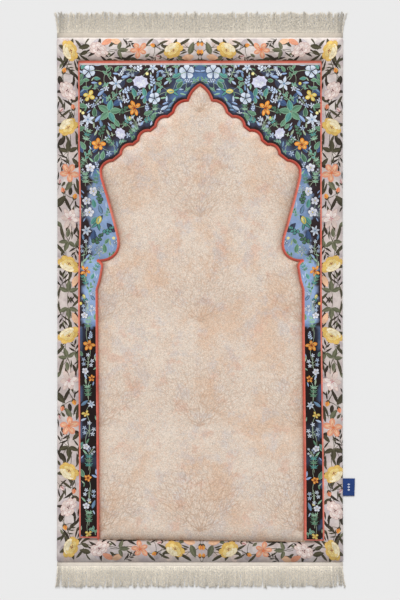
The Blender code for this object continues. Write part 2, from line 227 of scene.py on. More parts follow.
def vine(zone, points, width, tone, steps=5, taper=0.6):     # a stem through a few points
    p = np.array(points, float)
    if len(p) == 3:
        line = np.stack(onCurve(p, np.linspace(0, 1, steps + 1)), 1)
    else:
        q = np.concatenate(([2 * p[0] - p[1]], p, [2 * p[-1] - p[-2]]))
        line = np.array([0.5 * (2 * b + (c - a) * t + (2 * a - 5 * b + 4 * c - d) * t * t
                                + (3 * b - a - 3 * c + d) * t ** 3)
                         for a, b, c, d in zip(q, q[1:], q[2:], q[3:])
                         for t in np.arange(0, 1, 1 / steps)] + [p[-1]])
    ahead = np.gradient(line, axis=0)
    side = np.stack((-ahead[:, 1], ahead[:, 0]), 1) / np.linalg.norm(ahead, axis=1)[:, None]
    half = (width / 2 * np.linspace(1, taper, len(line)))[:, None]
    lay(zone, np.concatenate((line + side * half, (line - side * half)[::-1])), tone, 0, 0)


def ringOf(zone, x, y, turn, count, length, width, tone, rim=None, squash=1.0, **form):
    for k in range(count):
        a = fullTurn * k / count
        wide, tall = math.cos(a), math.sin(a) * squash
        size = math.hypot(wide, tall) * dice.uniform(0.95, 1.05)
        petal(zone, x, y, turn + math.atan2(tall, wide), length * size, width * dice.uniform(0.94, 1.06),
              tone, rim, **form)


# Each row of petals: how many, where it starts, how far it spreads, then the start, length and width
# in shares of the flower's radius, the tone, the rim's tone and the rim's width.
def bloom(zone, x, y, r, turn, squash, rows):    # rows of petals, seen a little from the side
    for count, start, spread, far, length, width, tone, rim, edge, *form in rows:
        form = {"widest": 0.68, "blunt": 0.5, "steps": 5, **(form[0] if form else {})}
        for k in range(count):
            a = start + (spread * (k + 0.5) / count - spread / 2) + dice.uniform(-0.13, 0.13)
            size, wide = r * length * dice.uniform(0.88, 1.10), r * width * dice.uniform(0.9, 1.1)
            across, up = math.cos(a), math.sin(a) * squash
            reach = (r * far + size) * math.hypot(across, up)
            for grown, colour in ((edge, rim), (0.0, tone)):
                if colour is None:
                    continue
                line = petalLine(size + grown, wide + 2 * grown, **form) + (r * far, 0.0)
                lay(zone, spun(spun(line, a) * (1.0, squash), turn), colour, x, y, 0.0, 1)
                shapes[-1]["place"] = (x, y, turn + math.atan2(up, across), reach, wide / 2)


def gardenRose(zone, x, y, r, turn):
    for a in (0.6, 2.6, 4.0, 5.6):
        leaf(zone, x, y, turn + a, r * dice.uniform(1.15, 1.4), r * 0.46, "olive")
    bloom(zone, x, y, r, turn, 0.74, (
        (5, 1.5, 4.4, 0.12, 0.92, 0.80, "corn", "amberRim", 0.6),
        (3, -1.5, 2.4, 0.06, 0.80, 0.86, "primrose", "cornRim", 0.5),
        (4, 1.2, 3.6, 0.04, 0.66, 0.62, "butter", "amberRim", 0.5),
        (3, -1.7, 2.2, 0.02, 0.54, 0.62, "primrose", "cornRim", 0.4),
    ))
    bloom(zone, *spotAt(x, y, r * 0.12, turn + 1.57), r, turn, 0.62, (
        (5, 0.3, fullTurn, 0.0, 0.36, 0.28, "butter", "amberRim", 0.5, {"steps": 4}),
        (4, 0.9, fullTurn, 0.0, 0.22, 0.13, "russet", None, 0.0, {"steps": 3}),
    ))


def peony(zone, x, y, r, turn):
    for a in (1.2, 3.3, 5.2):
        leaf(zone, x, y, turn + a, r * 1.35, r * 0.36, "dusk")
    bloom(zone, x, y, r, turn, 0.66, (
        (8, 0.2, fullTurn, 0.10, 1.0, 0.70, "shell", "petalRim", 0.6),
        (6, 0.6, fullTurn, 0.04, 0.76, 0.52, "pearl", "rosette", 0.5),
        (5, 0.1, fullTurn, 0.0, 0.46, 0.34, "shell", "rose", 0.5, {"steps": 4}),
        (3, 0.9, fullTurn, 0.0, 0.24, 0.14, "wine", None, 0.0, {"steps": 3}),
    ))


def magnolia(zone, x, y, r, turn):                        # long pale petals, barely off the ground's colour
    for a in (0.8, 3.9):
        leaf(zone, x, y, turn + a, r * 1.3, r * 0.3, "olive")
    slim = {"widest": 0.6, "blunt": 0.62}
    bloom(zone, x, y, r, turn, 0.8, (
        (6, 0.4, fullTurn, 0.0, 1.08, 0.50, "blush", "petalRim", 0.45, slim),
        (4, 1.0, 3.4, 0.0, 0.78, 0.40, "pearl", "rosette", 0.4, slim),
        (5, 0.0, fullTurn, 0.0, 0.30, 0.08, "rose", None, 0.0, {"widest": 0.5, "blunt": 0.8, "steps": 3}),
    ))


def heart(zone, x, y, size, turn, tone, wavy=0.0):        # the small round middle of a flower
    lay(zone, ruffle(size, 5, wavy, steps=1), tone, x, y, turn)


def dayLily(zone, x, y, r, turn, colours=("peach", "apricot", "coral"), count=5):
    body, pale, throat = colours
    for k in range(count):
        a = turn + fullTurn * k / count + dice.uniform(-0.25, 0.25)
        bend = dice.uniform(-0.2, 0.2)
        size = r * dice.uniform(0.78, 1.1)
        wide = r * dice.uniform(0.48, 0.66)
        petal(zone, x, y, a, size, wide, body, throat, edge=0.35, widest=0.62, blunt=0.62, bend=bend)
        petal(zone, x, y, a, size * 0.86, wide * 0.45, pale, widest=0.6, blunt=0.8, bend=bend, steps=4)
        petal(zone, x, y, a, size * 0.55, 1.8, throat, widest=0.4, blunt=0.8, bend=bend, steps=4)
    heart(zone, x, y, r * 0.14, turn, throat, 0.1)


def bud(zone, x, y, length, turn, colours=("amber", "flame")):
    body, tip = colours
    stem = (spotAt(x, y, -length * 0.9, turn + 0.3), spotAt(x, y, -length * 0.4, turn), (x, y))
    vine(zone, stem, 1.3, "olive", steps=4)
    petal(zone, x, y, turn, length, length * 0.62, body, tip, edge=0.5, widest=0.48, blunt=0.62)
    petal(zone, x, y, turn + 0.12, length * 0.98, length * 0.24, tip, widest=0.62, blunt=0.8, steps=4)
    for a in (-0.62, 0.62):
        leaf(zone, x, y, turn + a, length * 0.55, length * 0.24, "olive", steps=4)


def leafTrio(zone, x, y, size, turn):
    tone = dice.choice(("olive", "sage", "olive", "sage"))
    stem = (spotAt(x, y, -size * 0.9, turn), spotAt(x, y, -size * 0.4, turn + 0.3), (x, y))
    vine(zone, stem, 1.5, "twig")
    for a, s in ((-1.15, 0.9), (0.05, 1.05), (1.2, 0.92)):
        leaf(zone, *spotAt(x, y, 1.5, turn + a), turn + a, size * s, size * 0.48 * s, tone)


def spray(zone, x, y, r, turn):                           # six narrow leaves on a leaning stem
    tone = dice.choice(("olive", "dusk"))
    length = r * 2.3
    x, y = spotAt(x, y, -r, turn)
    tipX, tipY = spotAt(x, y, length * 0.8, turn)
    lean = dice.choice((-0.18, 0.18)) * length
    middle = ((x + tipX) / 2 - lean * math.sin(turn), (y + tipY) / 2 + lean * math.cos(turn))
    stem = ((x, y), middle, (tipX, tipY))
    vine(zone, stem, 1.1, tone)
    for k in range(6):
        t = (k + 0.6) / 6
        side = 1 if k % 2 else -1
        size = length * 0.52 * dice.uniform(0.8, 1.15) * (1 - 0.25 * t)
        leaf(zone, *onCurve(stem, t), turn + side * 1.1 * (1 - 0.55 * t), size, r * 0.30, tone,
             blunt=0.9, widest=0.5, bend=-0.14 * side, steps=4)


def star(zone, x, y, r, turn):
    count = dice.choice((5, 6))
    ringOf(zone, x, y, turn, count, r, r * 0.46, "ice", "plum", widest=0.52, blunt=0.95, edge=1.0, steps=4)
    for k in range(count):
        petal(zone, x, y, turn + fullTurn * k / count, r * 0.7, 1.2, "frost", widest=0.4, blunt=0.7, steps=3)
    heart(zone, x, y, r * 0.15, turn, "steel", 0.1)


def fanFlower(zone, x, y, r, turn):
    for k in range(5):
        a = turn + fullTurn * k / 5 + dice.uniform(-0.08, 0.08)
        size, wide = r * dice.uniform(0.86, 1.04), r * dice.uniform(0.84, 1.0)
        px, py = spotAt(x, y, 1.2, a)
        petal(zone, px, py, a, size, wide, "ice", "navy", edge=0.75, widest=0.74, blunt=0.58, steps=5)
        for b in (-0.2, 0.16):
            petal(zone, px, py, a + b, size * 0.66, 1.3, "frost", widest=0.5, blunt=0.7, steps=3)
    heart(zone, x, y, r * 0.14, turn, "ink")


def windFlower(zone, x, y, r, turn):                      # five round white petals and a yellow eye
    ringOf(zone, x, y, turn, 5, r * 1.02, r * 0.74, "white", "ink", 0.9, widest=0.66, blunt=0.55, edge=0.7,
           steps=5)
    ringOf(zone, x, y, turn + 0.1, 5, r * 0.5, r * 0.2, "lilacRim", widest=0.6, blunt=0.8, steps=3)
    heart(zone, x, y, r * 0.17, turn, "lemon")


def lilyBud(zone, x, y, r, turn):                         # a long yellow-green bud and two narrow leaves
    for a in (2.6, 3.7):
        leaf(zone, x, y, turn + a, r * 1.1, r * 0.36, "teal", "plum")
    petal(zone, x, y, turn, r * 1.15, r * 0.72, "lemon", "moss", edge=0.7, widest=0.5, blunt=0.6,
          off=-r * 0.2)
    petal(zone, x, y, turn + 0.2, r * 0.95, r * 0.26, "straw", widest=0.55, blunt=0.7, steps=4, off=-r * 0.1)
    petal(zone, x, y, turn - 0.22, r * 0.8, r * 0.22, "mint", widest=0.5, blunt=0.8, steps=4, off=-r * 0.1)


def cluster(zone, x, y, r, turn):                         # small pointed pale flowers on a branching stem
    vine(zone, ((x, y), spotAt(x, y, r, turn + 0.2), spotAt(x, y, 2 * r, turn)), 1.3, "reed", steps=4)
    for k, (far, a) in enumerate(((0.7, 0.9), (0.9, -0.85), (1.35, 0.55), (1.5, -0.5), (2.1, 0.0))):
        fx, fy = spotAt(x, y, far * r, turn + a)
        bx, by = spotAt(x, y, far * 0.6 * r, turn)
        vine(zone, ((bx, by), ((bx + fx) / 2 + 0.5, (by + fy) / 2), (fx, fy)), 1.0, "reed", steps=2)
        ringOf(zone, fx, fy, turn + k, 5, r * 0.36, r * 0.21, ("ice", "frost")[k % 2], "plum", edge=0.5,
               widest=0.55, blunt=0.9, steps=3)


def lobedStem(zone, x, y, length, turn):                  # a stem with pairs of three-lobed leaves
    stem = ((x, y), spotAt(x, y, length * 0.5, turn + 0.12), spotAt(x, y, length, turn))
    vine(zone, stem, 1.1, "reed", steps=4)
    for t in (0.3, 0.62, 0.92):
        tone = dice.choice(("fern", "mint", "fern", "teal"))
        for side in (-1, 1):
            for b, size in ((0.45, 0.30), (0.95, 0.40), (1.5, 0.26)):
                leaf(zone, *spotAt(x, y, length * t, turn), turn + side * b, length * size, length * 0.078,
                     tone, steps=4)


def tendril(zone, x, y, r, turn):                         # a curling stem with a few narrow leaves
    hand = dice.choice((-1, 1))
    line = [(x, y)]
    heading, step = turn, r * 0.42
    for k in range(8):
        line.append(spotAt(*line[-1], step, heading))
        heading += hand * (0.18 + 0.13 * k)
        step *= 0.90
    vine(zone, line, 1.35, "reed", steps=2)
    for k in (1, 2, 3, 4):
        a = turn + hand * 0.25 * k + (0.8 if k % 2 else -0.8)
        leaf(zone, *line[k], a, r * 0.62, r * 0.24, dice.choice(("fern", "moss", "teal")), "mint", steps=4)


def carnation(zone, x, y, r, turn, colours=("lilac", "lilacRim", "white"), squash=0.8):
    body, rim, pale = colours
    lay(zone, ruffle(r * 1.1, 8, 0.10, squash=squash), "plum", x, y, turn)
    lay(zone, ruffle(r, 8, 0.12, squash=squash), body, x, y, turn)
    for k in range(8):
        a = turn + 2.4 * k
        far = r * (0.62, 0.25)[k % 2]
        petal(zone, x + far * 0.3 * math.cos(a), y + far * 0.3 * squash * math.sin(a), a, r * 0.56, r * 0.46,
              pale if k % 3 else body, rim, edge=0.35, widest=0.74, blunt=0.5, steps=4)


def leafSprig(zone, x, y, r, turn, count, choices, wide):
    tone = dice.choice(choices)
    bend = dice.choice((-0.22, 0.22))
    x, y = spotAt(x, y, -r, turn)
    length, width = r * 1.7, r * wide
    c, s = math.cos(turn), math.sin(turn)
    middle = (x + length * (0.5 * c - bend * s), y + length * (0.5 * s + bend * c))
    tip = (x + length * c, y + length * s)
    vine(zone, ((x, y), middle, tip), 1.4, "reed")
    for k in range(count):
        t = (k + 0.8) / (count + 0.3)
        side = 1 if k % 2 else -1
        leaf(zone, *onCurve(((x, y), middle, tip), t), turn + side * 0.9, length * 0.42 * (1 - 0.3 * t),
             width * (1 - 0.25 * t), tone, "plum", steps=4)
    leaf(zone, *tip, turn, length * 0.36, width * 0.8, tone, "plum", steps=4)


def fiveLeaf(zone, x, y, r, turn):
    for k in range(5):
        a = turn + 1.256 * k
        leaf(zone, *spotAt(x, y, 2.5, a), a, r, r * 0.52, ("fern", "teal")[k % 2], "mint")


def starlet(zone, x, y, r, turn):
    ringOf(zone, x, y, turn, 5, r * 1.1, r * 0.6, dice.choice(("ice", "frost")), "plum", edge=0.5, widest=0.6,
           blunt=0.9, steps=3)


def berry(zone, x, y, r, turn):
    lay(zone, ruffle(r * 0.8, 5, 0.08, steps=2), dice.choice(("lemon", "straw")), x, y, turn)


def alike(draw, *rest, start=0.0, size=1.0):     # a flower drawn from further back, larger or in other tones
    return lambda zone, x, y, r, a: draw(zone, *spotAt(x, y, -r * start, a), r * size, a, *rest)


def single(length, width, choices, rim=None, start=1.0, lean=0.0, draw=leaf, **form):
    def laid(zone, x, y, r, a):                  # one leaf or petal, its tone picked each time
        tone = dice.choice(choices)
        if lean:
            form["bend"] = dice.uniform(-lean, lean)
        draw(zone, *spotAt(x, y, -r * start, a), a, r * length, r * width, tone, rim, **form)
    return laid


# what each word in the plans below draws, in a circle of radius r
makers = {
    "rose": gardenRose, "peony": peony, "magnolia": magnolia, "lily": dayLily, "trio": leafTrio,
    "spray": spray,
    "bud": alike(bud, start=0.4, size=1.3),
    "peachBud": alike(bud, ("peach", "coral"), start=0.4, size=1.4),
    "pinkBud": alike(bud, ("shell", "petalRim"), start=0.4, size=1.2),
    "leafOlive": single(2.2, 1.05, ("olive", "olive", "sage", "dusk")),
    "blade": single(3.2, 0.66, ("dusk", "olive"), start=1.5, lean=0.3),
    "peachLeaf": single(2.3, 1.1, ("peach", "apricot"), "coral", draw=petal, edge=0.35, widest=0.45,
                        blunt=0.8),
    "ghost": single(2.2, 1.2, ("ghost", "blush", "cream", "mauve"), draw=petal),
    "star": star, "fan": fanFlower, "four": windFlower, "lilyBud": lilyBud, "carnation": carnation,
    "tendril": alike(tendril, start=1.0), "cluster": alike(cluster, start=1.0),
    "lobes": alike(lobedStem, start=1.0, size=2.0),
    "pansy": alike(dayLily, ("lemon", "straw", "amber"), 4),
    "tiger": alike(dayLily, ("orange", "marmalade", "spice")),
    "fiveLeaf": fiveLeaf, "starlet": starlet, "berry": berry,
    "iceSprig": alike(leafSprig, 6, ("frost", "ice"), 0.52),
    "greenSprig": alike(leafSprig, 5, ("moss", "teal"), 0.6),
    "leafGreen": single(2.3, 1.05, ("fern", "moss", "teal", "fern"), "mint"),
    "leafIce": single(2.3, 0.85, ("frost", "sky", "steel"), "plum"),
    "sliver": single(2.4, 0.75, ("frost", "mint", "reed", "fern", "sky"), steps=4),
    "blueLeaf": single(2.3, 1.2, ("ink", "navy", "ink")),
}


class Room:                   # keeps what is laid in a zone from crowding
    def __init__(self, allowed, seed):
        self.allowed, self.taken = allowed, []
        self.dice = random.Random(seed)

    def take(self, x, y, r):
        self.taken.append((x, y, r))

    def clear(self, x, y, r):
        return all((x - u) ** 2 + (y - v) ** 2 > (r + w) ** 2 for u, v, w in self.taken)

    def spotsFor(self, r, tries, box):
        x = np.array([self.dice.uniform(box[0], box[2]) for _ in range(tries)])
        y = np.array([self.dice.uniform(box[1], box[3]) for _ in range(tries)])
        ok = self.allowed(np.stack((x, y), 1), r)
        for px, py in zip(x[ok], y[ok]):
            if self.clear(px, py, r):
                self.take(px, py, r)
                yield px, py


def alongStrip(x, y):         # the way the border's stems run
    return math.pi / 2 if x > sideLine and y < headLine else 0.0


def gardenFlow(x, y):         # stems climb the column and turn in towards the point
    return math.pi / 2 + 0.9 * max(0.0, min(1.0, (y - 250) / 250)) + 0.5 * math.sin(y / 60 + x / 45)


# a quarter of the border: word, x, y, size, turn.  It is repeated in a mirror across both middles.
borderPlan = (
    ("trio", 301, 18, 25, 1.6), ("rose", 301, 80, 24, 0.5), ("trio", 303, 134, 23, -1.3),
    ("magnolia", 300, 186, 25, 1.1), ("bud", 290, 232, 12, 1.9), ("peachBud", 314, 246, 11, 1.2),
    ("lily", 301, 290, 22, 2.2), ("trio", 301, 338, 25, 1.5), ("rose", 303, 396, 24, 2.5),
    ("peachBud", 289, 436, 11, 1.3), ("peony", 303, 478, 23, 1.0), ("bud", 312, 520, 12, 1.9),
    ("rose", 298, 568, 25, 1.2), ("peony", 232, 572, 22, 0.5), ("trio", 188, 571, 22, 3.1),
    ("lily", 140, 572, 21, 1.2), ("bud", 104, 580, 11, 0.4), ("rose", 62, 572, 23, 2.6),
    ("leafOlive", 20, 574, 14, 1.9), ("bud", 3, 562, 11, 1.5), ("bud", 4, 588, 9, -1.5),
)
borderFill = (                # room taken, tries, size drawn, words
    (8.6, 260, 16.0, ("spray", "trio", "spray", "spray", "leafOlive")),
    (6.2, 520, 12.0, ("spray", "blade", "peachLeaf", "spray", "leafOlive", "pinkBud", "blade", "peachLeaf")),
    (4.0, 1200, 9.4, ("blade", "blade", "leafOlive", "blade")),
    (2.6, 1500, 6.2, ("blade", "blade", "blade", "leafOlive")),
)

# the right half of the ground between the frame and the niche
gardenPlan = (
    ("fan", 30, 521, 16, 0.3), ("lilyBud", 62, 476, 15, 0.1), ("cluster", 76, 520, 13, 1.2),
    ("star", 108, 530, 12, 0.9), ("carnation", 136, 498, 17, 0.2), ("fan", 104, 460, 13, 0.9),
    ("cluster", 158, 524, 14, 0.2), ("tiger", 150, 438, 17, 0.2), ("star", 192, 494, 17, 0.1),
    ("tendril", 216, 518, 20, 0.9), ("fan", 254, 522, 14, 1.1), ("fiveLeaf", 208, 430, 25, 0.5),
    ("pansy", 254, 466, 15, 0.6), ("carnation", 182, 380, 13, 1.0), ("star", 256, 412, 15, 0.7),
    ("tiger", 232, 354, 16, 1.5), ("lobes", 260, 372, 15, 1.9), ("tendril", 262, 332, 15, 1.7),
    ("four", 252, 302, 11, 0.4), ("lobes", 264, 274, 14, 1.6), ("four", 246, 248, 11, 0.8),
    ("four", 262, 226, 10, 0.1), ("lobes", 240, 272, 13, 1.7), ("greenSprig", 230, 232, 14, 1.2),
    ("leafGreen", 246, 180, 9, 2.2), ("lilyBud", 236, 176, 17, 1.9), ("greenSprig", 214, 158, 13, 2.6),
    ("four", 256, 200, 12, 0.5), ("star", 262, 158, 12, 0.2), ("greenSprig", 238, 138, 15, 2.4),
    ("cluster", 262, 118, 14, 1.5), ("tiger", 262, 66, 13, 0.9), ("tendril", 256, 26, 15, 1.4),
    ("lobes", 262, 42, 13, 1.2), ("cluster", 257, -18, 13, 1.5), ("lilyBud", 264, 4, 9, 1.2),
    ("lobes", 256, -56, 15, 1.6), ("four", 264, -36, 8, 0.3), ("tiger", 254, -104, 14, 0.4),
    ("cluster", 257, -142, 14, 1.6), ("four", 263, -164, 8, 0.8), ("tiger", 248, -180, 8, 0.2),
    ("lobes", 257, -214, 15, 1.5), ("star", 250, -240, 9, 0.3), ("pansy", 262, -262, 9, 0.4),
    ("cluster", 255, -300, 15, 1.6), ("four", 262, -338, 8, 0.6), ("lobes", 256, -376, 16, 1.6),
    ("tiger", 258, -410, 9, 0.6), ("cluster", 255, -446, 14, -1.5), ("four", 262, -474, 8, 0.3),
    ("lobes", 256, -504, 15, 1.6), ("pansy", 258, -538, 9, 0.6),
)
gardenFill = (
    (8.2, 800, 12.5, ("cluster", "iceSprig", "tendril", "lobes", "greenSprig", "tendril")),
    (5.8, 1700, 8.8, ("leafGreen", "iceSprig", "cluster", "leafGreen", "cluster", "leafIce", "tendril")),
    (4.0, 2400, 6.2, ("leafGreen", "leafIce", "sliver", "sliver", "starlet")),
    (2.8, 2400, 4.4, ("sliver", "sliver", "sliver", "sliver", "sliver", "berry")),
)


def layZone(zone, plan, fill, box, allowed, flow, ghosts, stem, seed):
    room, under = Room(allowed, seed), Room(allowed, seed + 2)
    pick = random.Random(seed + 1)
    word, size, tries = ghosts
    for x, y in under.spotsFor(size, tries, box):
        if zone == "garden" and (y < ground["ghostsFrom"] or pick.random() < 0.35):
            continue
        makers[word](zone, x, y, size * 1.25, flow(x, y) + pick.uniform(-1.2, 1.2))
    for word, x, y, r, turn in plan:
        room.take(x, y, r * (0.62 if word in ("trio", "spray") else 0.95))
    big = len(room.taken)
    small = []
    for r, tries, drawn, words in fill:
        for x, y in room.spotsFor(r, tries, box):
            word = pick.choice(words)
            turn = flow(x, y) + pick.choice((0, math.pi)) * (zone == "border")
            small.append((word, x, y, drawn, turn + pick.choice((-1, 1)) * pick.uniform(0.1, 0.8)))
    joined = [spot for k, spot in enumerate(room.taken) if k < big or spot[2] > 4]
    for k, (x, y, _) in enumerate(joined[1:], 1):       # a stem from each to the nearest one before it
        fromX, fromY, _ = min(joined[:k], key=lambda spot: math.hypot(spot[0] - x, spot[1] - y))
        far = math.hypot(fromX - x, fromY - y)
        if 6 < far < 70:
            lean = pick.choice((-0.22, 0.22)) * far
            middle = ((x + fromX) / 2 + lean * (-(fromY - y) / far),
                      (y + fromY) / 2 + lean * ((fromX - x) / far))
            vine(zone, ((fromX, fromY), middle, (x, y)), stem[1] if k < big else stem[1] * 0.75, stem[0])
    for word, *spot in sorted(small, key=lambda item: item[3]):
        makers[word](zone, *spot)
    for word, *spot in plan:
        makers[word](zone, *spot)


# the garden's ground, by height and distance from the middle: deep blue beside the scallops and over
# the point, pale blue beside the slanted sides and the columns' heads, nearly black below
ground = {
    "archFrom": 300.0, "archReach": 34.0, "pointFrom": 455.0, "pointWide": 70.0, "keyline": 7.4,
    "bulgeFrom": 92.0, "bulgeX": 253.0, "columnFrom": -62.0, "columnX": 267.0, "lowX": 268.0,
    "bareX": 238.0, "sparseBelow": -55.0, "sparse": -0.75, "ghostsFrom": 80.0, "skyFrom": -80.0,
    "plumFrom": -70.0,
}


def inBorder(points, r):
    x, y = points[:, 0], points[:, 1]
    slack = min(r * 0.45, 3.5)
    outer = (x < mat["width"] / 2 - slack) & (y < mat["length"] / 2 - slack - 5.5)
    return outer & ((x > sideLine + slack) | (y > headLine + slack)) & (x > -2) & (y > -2)


def blueness(points):        # how blue the garden's ground is, from 0 to 1
    x, y = np.abs(points[:, 0]), points[:, 1]
    near = farFrom(np.stack((x, y), 1), nicheShape)
    clouds = cloud(x, y, 90, 3)
    arch = (1 - near / ground["archReach"]) * (y > ground["archFrom"])
    arch = arch + (y > ground["pointFrom"]) * np.clip(1.6 - x / ground["pointWide"], 0, 1)
    arch = arch * np.clip((near - ground["keyline"]) / 4.0, 0, 1)
    ragged = 5 * np.sin(y / 9) + 3.5 * np.sin(y / 3.7 + 1) + 2 * np.sin(y / 2.1)
    onBulge = (y > ground["bulgeFrom"]) & (y <= ground["archFrom"])
    onColumn = (y > ground["columnFrom"]) & (y <= ground["bulgeFrom"])
    bulge = onBulge * np.clip((ground["bulgeX"] + ragged - x) / 5, 0, 1.5)
    column = onColumn * np.clip((ground["columnX"] + ragged - x) / 5, 0, 1.4)
    low = (y <= ground["columnFrom"]) * np.clip((x - ground["lowX"]) / 6, 0, 0.5) * (clouds > 0.2)
    return np.clip(0.95 * (arch + bulge + column + low) + 0.3 * clouds - 0.05, 0, 1) ** 1.2


nicheShape = nicheHalf()
nicheRing = [(-x, y) for x, y in reversed(nicheShape[1:])] + nicheShape


def inGarden(points, r):
    x, y = points[:, 0], points[:, 1]
    slack = min(r * 0.5, 4.0)
    ok = (x < sideLine - slack) & (y < headLine - slack) & (y > footLine + slack) & ~inside(points, nicheRing)
    ok &= farFrom(points, nicheShape) > slack + 1.0 + 5.0 * (y > ground["archFrom"])
    onBulge = (y > ground["bulgeFrom"]) & (y < ground["archFrom"])
    bare = np.sin(x * 0.9 + y * 1.7)          # leaves some of the ground bare
    ok &= ~(onBulge & (x < ground["bareX"] + 6 * np.sin(y / 17)) & (bare > 0.0))
    return ok & ~((y < ground["sparseBelow"]) & (bare > ground["sparse"]))


layZone("border", borderPlan, borderFill, (-2, -2, 330, 602), inBorder, alongStrip, ("ghost", 9.5, 260),
        ("twig", 1.9), 21)
borderCount = len(shapes)
layZone("garden", gardenPlan, gardenFill, (0, -552, 280, 546), inGarden, gardenFlow, ("blueLeaf", 10.0, 500),
        ("reed", 1.25), 5)
# a painted highlight: a pale strip under the head's red line, where the garden's top slope faces the lamp
low, high = [headLine - depth for depth in mat["paleStrip"]]
lay("garden", np.array(((0.0, low), (sideLine, low), (sideLine, high), (0.0, high))), "mauve", 0, 0)


def mirrored(shape, flipX, flipY):
    sx, sy = (-1 if flipX else 1), (-1 if flipY else 1)
    x, y, turn, long, wide = shape["place"]
    turn = math.atan2(sy * math.sin(turn), sx * math.cos(turn))
    flip = sx * sy
    outline = shape["outline"] * (sx, sy)
    return {**shape, "outline": outline[::flip], "place": (sx * x, sy * y, turn, long, wide * flip)}


quarter, half = shapes[:borderCount], shapes[borderCount:]
shapes = [mirrored(s, fx, fy) for fy in (0, 1) for fx in (0, 1) for s in quarter]
shapes += [mirrored(s, fx, 0) for fx in (0, 1) for s in half]
print("rug: print laid out,", len(shapes), "shapes")


def besideLine(line, offset, closed=False):    # a line's points moved to its left by the offset
    a = np.asarray(line, float)
    if closed:
        ahead = np.roll(a, -1, axis=0) - np.roll(a, 1, axis=0)
    else:
        ahead = np.gradient(a, axis=0)
    normal = np.stack((-ahead[:, 1], ahead[:, 0]), 1)
    return a + offset * normal / np.linalg.norm(normal, axis=1)[:, None]


# how finely the face is cut, and how high the padding stands, in millimetres
face = {
    "nicheStep": 4.6, "frameStep": 6.0, "edgeStep": 7.0, "fieldGrid": 9.0, "printGrid": 7.0, "underGrid": 41.0,
    "nicheRows": (-22, -15.5, -11, -7.8, -5.6, -4.2, -3.2, -1.3, 0.6, 4.6, 7.2, 10.8, 15.5),
    "frameRows": (-15, -10, -6.6, -4.2, 4.2, 6.6, 10, 15), "edgeRows": (0.9, 2.2, 4.2, 7, 11, 16),
    "rim": 3.6, "channel": 5.0, "groove": 2.0, "border": 12.0, "garden": 12.5, "field": 15.0,
    "borderReach": 22.0, "gardenReach": 19.0, "fieldReach": 28.0, "power": 2.3, "nicheCrease": -3.1,
    "rimTurns": ((-0.35, 2.3), (0.15, 1.0), (1.3, 0.0)),      # how far inwards, at which height
    "nicheBand": 2.85, "keyline": 7.8, "keyFrom": 300.0, "headBand": 3.0, "frameBand": 1.75,
    "columnFoot": -546.5, "hemLine": 597.4, "lineSlack": 0.06, "longest": 14.0, "spare": 6.0,
    # how strong the colours print: the red line by height, the garden by height; the border darker along the
    # sides and darkest at the foot
    "lineFade": ((0, 30, 100, 150, 280, 310), (0.55, 0.35, 0.35, 0.75, 0.75, 0.15)), "frameFade": 0.92,
    "borderInk": ((-560, -520, 520, 560), (0.75, 0.895, 0.895, 0.96)),
    "gardenInk": ((-90, -50, 85, 115, 280, 320), (0.80, 1.0, 1.0, 0.80, 0.82, 1.0)),
    # the bake map: its size, the middles of the face and the underside, and how the rim spreads
    "mapSize": 1240.0, "mapFace": 0.27, "mapUnder": 0.77, "mapRim": 0.003,
}
nicheLine = drifted(resampled(nicheRing, face["nicheStep"]))
frameCorners = [(-sideLine, headLine), (sideLine, headLine), (sideLine, footLine), (-sideLine, footLine)]
frameLine = drifted(resampled(frameCorners, face["frameStep"], True))
bandPath = [(-mat["columnX"], face["columnFoot"]), (-sideLine, face["columnFoot"]), frameCorners[0],
            frameCorners[1], (sideLine, face["columnFoot"]), (mat["columnX"], face["columnFoot"])]
bandLine = drifted(resampled(bandPath, face["frameStep"]))
printRing = drifted([(x, max(y, face["columnFoot"])) for x, y in frameCorners])


def edgeOutline():
    w, h, r = mat["width"] / 2, mat["length"] / 2, mat["corner"]
    corner = [(w - r + r * math.cos(t), h - r + r * math.sin(t)) for t in np.linspace(0, math.pi / 2, 6)]
    ring = corner + [(-x, y) for x, y in reversed(corner)]
    ring += [(-x, -y) for x, y in corner] + [(x, -y) for x, y in reversed(corner)]
    p = np.array(resampled(ring, face["edgeStep"], True))
    pull = mat["drawIn"] * (1 - (p[:, 1] / h) ** 4) * (np.abs(p[:, 0]) / w) ** 8
    p[:, 0] -= np.sign(p[:, 0]) * pull
    return p


edgeRing = edgeOutline()


def raised(low, high, far, reach):       # the padding's height at a distance from where it is sewn down
    return low + (high - low) * (1 - (1 - np.clip(far / reach, 0, 1)) ** face["power"])


# how the sewn lines wander, how the padding puckers beside them, and how much painted shade lies in and beside
# them
sewing = {
    "nicheWander": 0.5, "frameWander": 1.3, "headShift": 0.4, "creaseHalf": 1.4,
    "pucker": 0.55, "puckerReach": 8.0, "hills": 0.45, "smallHills": 0.22,
    "fieldShade": ((18, 55, 92, 130, 290, 330), (1.0, 1.45, 1.1, 1.3, 1.3, 0.0)), "fieldReach": 9.0,
    "rightLighter": 0.4, "besideShade": 0.45, "sideLighter": 0.35, "besideReach": 6.0,
    "headShade": 0.42, "headAt": 15.0, "headReach": 7.5, "footShade": 0.30, "footReach": 26.0,
    "sideCrease": 0.68, "footCrease": 0.4, "footCreaseTo": 20.0,
    "underHead": 1.35, "underHeadAt": 0.8, "underHeadUp": 4.4, "underHeadDown": 2.8,
}


